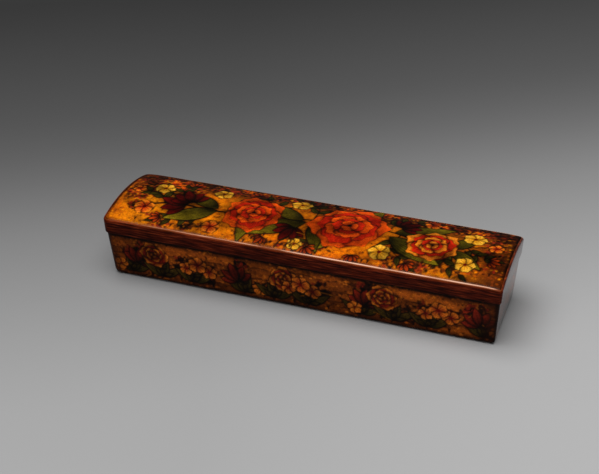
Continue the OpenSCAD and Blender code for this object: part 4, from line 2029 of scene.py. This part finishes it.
@dataclass
class Fittings(Assembly):
    """The inside: lining, partition, pen rests, reed pens, hinge pin, floor paper and floor board.

    Attributes:
        ease: How far edges are rounded.
        sharp: Angle in degrees over which an edge is rounded.
        flat: Angle in degrees under which faces are joined.
        tail: Length of a pen's tail that is rounded.
        pen_r: Radius of a pen.
        knots: Places of a pen's knots along the box.
        knot_run: Distances from a knot at which its swelling is given.
        knot_swell: The swelling there.
    """

    ease: float = 0.3
    sharp: float = 40.0
    flat: float = 1.0
    tail: float = 1.0
    pen_r: float = 3.8
    knots: tuple[float, ...] = (-45.0, 17.0)
    knot_run: tuple[float, ...] = (-2.2, -1.0, -0.35, 0.0, 0.35, 1.2, 2.4)
    knot_swell: tuple[float, ...] = (0.0, 0.14, 0.2, -0.06, 0.18, 0.08, 0.0)

    def copied(self, node: str) -> Mesh:
        """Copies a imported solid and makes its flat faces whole.

        Args:
            node: The solid's node.

        Returns:
            The copy.
        """
        bm = bmesh.new()
        bm.from_mesh(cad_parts[node].data)
        bmesh.ops.remove_doubles(bm, verts=bm.verts[:], dist=self.WELD)
        bmesh.ops.dissolve_limit(bm, angle_limit=math.radians(self.flat), verts=bm.verts[:],
                                 edges=bm.edges[:])
        return bm

    def eased(self, node: str, start: float = -math.inf) -> Mesh:
        """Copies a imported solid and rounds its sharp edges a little.

        Args:
            node: The solid's node.
            start: Where along the box the rounding starts.

        Returns:
            The eased copy.
        """
        bm = self.copied(node)
        sharp = [edge for edge in bm.edges if edge.calc_face_angle(0.0) > math.radians(self.sharp)
                 and min(vert.co.x for vert in edge.verts) > start * MM]
        bmesh.ops.bevel(bm, geom=sharp, offset=self.ease * MM, offset_type="OFFSET", segments=2, profile=0.5,
                        affect="EDGES", clamp_overlap=True, material=-1)
        return bm

    def knotted(self, node: str) -> Mesh:
        """Copies a pen, rounds its tail and swells it at its knots.

        Args:
            node: The pen's node.

        Returns:
            The finished copy.
        """
        low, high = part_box(node)
        bm = self.eased(node, high[0] / MM - self.tail)
        run = [knot + step for knot in self.knots for step in self.knot_run]
        for x in run:
            bmesh.ops.bisect_plane(bm, geom=[*bm.verts, *bm.edges, *bm.faces], dist=1e-7,
                                   plane_co=(x * MM, 0.0, 0.0), plane_no=(1.0, 0.0, 0.0))
        y, z = (low[1] + high[1]) / 2, (low[2] + high[2]) / 2
        for vert in bm.verts:
            swell = float(np.interp(vert.co.x / MM, run, self.knot_swell * len(self.knots)))
            grow = 1 + swell / self.pen_r
            vert.co.y, vert.co.z = y + (vert.co.y - y) * grow, z + (vert.co.z - z) * grow
        return bm

    def build(self) -> None:
        """Builds the eased and the knotted pieces, and gives the plain ones their finish."""
        for node in ("front_lining", "back_lining", "left_lining", "right_lining", "partition",
                     "left_pen_rest", "right_pen_rest"):
            self.piece(node + "_lacquered", self.eased(node), LiningLacquer(), "base", "lining", node)
        for row in ("front", "middle", "back"):
            node = f"reed_pen_{row}"
            self.piece(node + "_cut", self.knotted(node), DryReed(), f"{row}_pen", "reed", node)
        for finish, node in ((BurnishedPaper(), "floor_paper"), (AgedBrass(), "ink_hinge_pin"),
                             (StreakedLacquer("floor_lacquer", (0.05, 1.0, 1.0)), "base_floor")):
            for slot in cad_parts[node].material_slots:
                slot.material = finish.material()
            LOG.info("%s: %s", node, finish.name)


# The studio


@dataclass
class StudioPaperWithPaintedShade(Finish):
    """Pale seamless paper whose colour carries painted shade, darkening to grey behind the object and a
    little to the left.

    Attributes:
        turn: How far the camera is turned to the left, in degrees.
        slant: How much further the painted shade's fall-off is turned.
        eye: Where the camera stands.
        name: The material's name.
        painted_shade_falloff: Distances ahead of the camera in metres, each with the paper's tone under its
            painted shade.
        aside: Distances to the side in metres where the painted shade is darkest and where the paper is
            plain.
        aside_shade: What the painted shade leaves of the paper's tone there.
        blueness: Blue to a unit of red.
        roughness: How soft its reflections are.
        shine: How strong they are.
    """

    turn: float
    slant: float
    eye: Triple
    name: str = "studio_paper_painted_shade"
    painted_shade_falloff: tuple[Pair, ...] = (
        (0.45, 0.52), (0.62, 0.51), (0.73, 0.39), (0.833, 0.289), (0.926, 0.163), (1.02, 0.11),
        (1.156, 0.079), (1.3, 0.05), (1.31, 0.05), (1.7, 0.1), (2.3, 0.3), (4.45, 0.5))
    aside: Pair = (-0.057, 0.338)
    aside_shade: Pair = (0.731, 1.0)
    blueness: float = 1.005
    roughness: float = 0.85
    shine: float = 0.2

    def measured(self, turn: float, axis: str) -> Socket:
        """Measures the floor from under the camera.

        Args:
            turn: Which way is ahead, in degrees.
            axis: X for the way to the right, Y for the way ahead.

        Returns:
            The distance in metres.
        """
        place = self.node("ShaderNodeTexCoord").outputs["Object"]
        move = self.node("ShaderNodeMapping", vector_type="TEXTURE", vector=place,
                         rotation=(0.0, 0.0, math.radians(turn)))
        move.inputs["Location"].default_value = (self.eye[0], self.eye[1], 0.0)
        return self.along(move.outputs["Vector"], axis)

    def lay_out(self) -> None:
        """Adds the paper's tone with its painted shade."""
        near, far = self.painted_shade_falloff[0][0], self.painted_shade_falloff[-1][0]
        stops = [((at - near) / (far - near), (tone, tone, tone * self.blueness, 1.0))
                 for at, tone in self.painted_shade_falloff]
        # Painted shade: the paper darkens ahead of the camera and to its left
        ahead = self.graded(self.measured(self.turn + self.slant, "Y"), (near, far))
        aside = self.graded(self.measured(self.turn, "X"), self.aside, self.aside_shade)
        self.feed("Base Color", self.shaded(self.ramp(ahead, stops, "B_SPLINE"), aside))
        self.feed("Roughness", self.roughness)
        self.feed("Specular IOR Level", self.shine)


@dataclass(frozen=True)
class Lamp:
    """A soft lamp: where it hangs, the width and height of its face, and its power in watts."""

    name: str
    place: Triple
    size: Pair
    power: float

    def hang(self) -> None:
        """Hangs the lamp so that it faces the box."""
        data = bpy.data.lights.new(self.name, "AREA")
        data.shape, data.energy = "RECTANGLE", self.power
        data.size, data.size_y = self.size
        made = put(self.name, data)
        made.location = self.place
        made.rotation_euler = (-made.location).to_track_quat("-Z", "Y").to_euler()


@dataclass
class Studio:
    """Floor, lamps and camera, in metres and degrees.

    Attributes:
        eye: Where the camera stands.
        tilt: How far it is turned up from looking straight down.
        turn: How far it is turned to the left.
        lens: Its focal length in millimetres.
        sensor: Width of its sensor in millimetres.
        clip: The nearest and farthest that it sees.
        floor_size: Side of the floor.
        paper_turn: How far the floor's painted shade is turned to the left of the camera.
        lamps: The lamps.
        room_colour: Colour of the light from all sides.
        room_light: Its strength.
    """

    eye: Triple = (0.23832, -0.70173, 0.46855)
    tilt: float = 59.75
    turn: float = 19.32
    lens: float = 79.4
    sensor: float = 36.0
    clip: Pair = (0.01, 50.0)
    floor_size: float = 8.0
    paper_turn: float = 13.0
    lamps: tuple[Lamp, ...] = (Lamp("overhead", (-0.1, -0.25, 1.5), (1.6, 1.2), 27.0),
                               Lamp("front_strip", (-0.1, -1.3, 1.15), (1.8, 0.25), 3.0))
    room_colour: Quad = (1.0, 0.98, 0.95, 1.0)
    room_light: float = 0.08

    def floor(self) -> None:
        """Lays a pale floor whose painted shade darkens it to grey behind the object."""
        bm = bmesh.new()
        bmesh.ops.create_grid(bm, x_segments=1, y_segments=1, size=self.floor_size / 2)
        mesh = bpy.data.meshes.new("studio_floor")
        bm.to_mesh(mesh)
        bm.free()
        made = put("studio_floor", mesh)
        mesh.materials.append(StudioPaperWithPaintedShade(self.turn, self.paper_turn, self.eye).material())

    def camera(self) -> None:
        """Sets the camera where the photograph was taken from."""
        data = bpy.data.cameras.new("camera")
        data.lens, data.sensor_width = self.lens, self.sensor
        data.clip_start, data.clip_end = self.clip
        made = put("camera", data)
        made.location = self.eye
        made.rotation_euler = (math.radians(self.tilt), 0.0, math.radians(self.turn))
        bpy.context.scene.camera = made

    def room(self) -> None:
        """Fills the room with a little light from all sides."""
        world = bpy.data.worlds.new("room")
        world.use_nodes = True
        light = world.node_tree.nodes["Background"].inputs
        light["Color"].default_value, light["Strength"].default_value = self.room_colour, self.room_light
        bpy.context.scene.world = world

    def build(self) -> None:
        """Sets up the floor, the camera, the lamps and the room's light."""
        self.floor()
        self.camera()
        for lamp in self.lamps:
            lamp.hang()
        self.room()
        bpy.context.scene.view_settings.view_transform = "Standard"


def main() -> None:
    """Builds every sub-assembly in order, then the studio."""
    logging.basicConfig(level=logging.INFO, format="%(name)s %(message)s")
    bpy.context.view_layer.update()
    vault = Vault()
    for assembly in (LidPanel(vault), LidRim(vault), BaseWalls(), InkWell(), Fittings()):
        assembly.build()
    Studio().build()


if __name__ == "__main__":
    main()
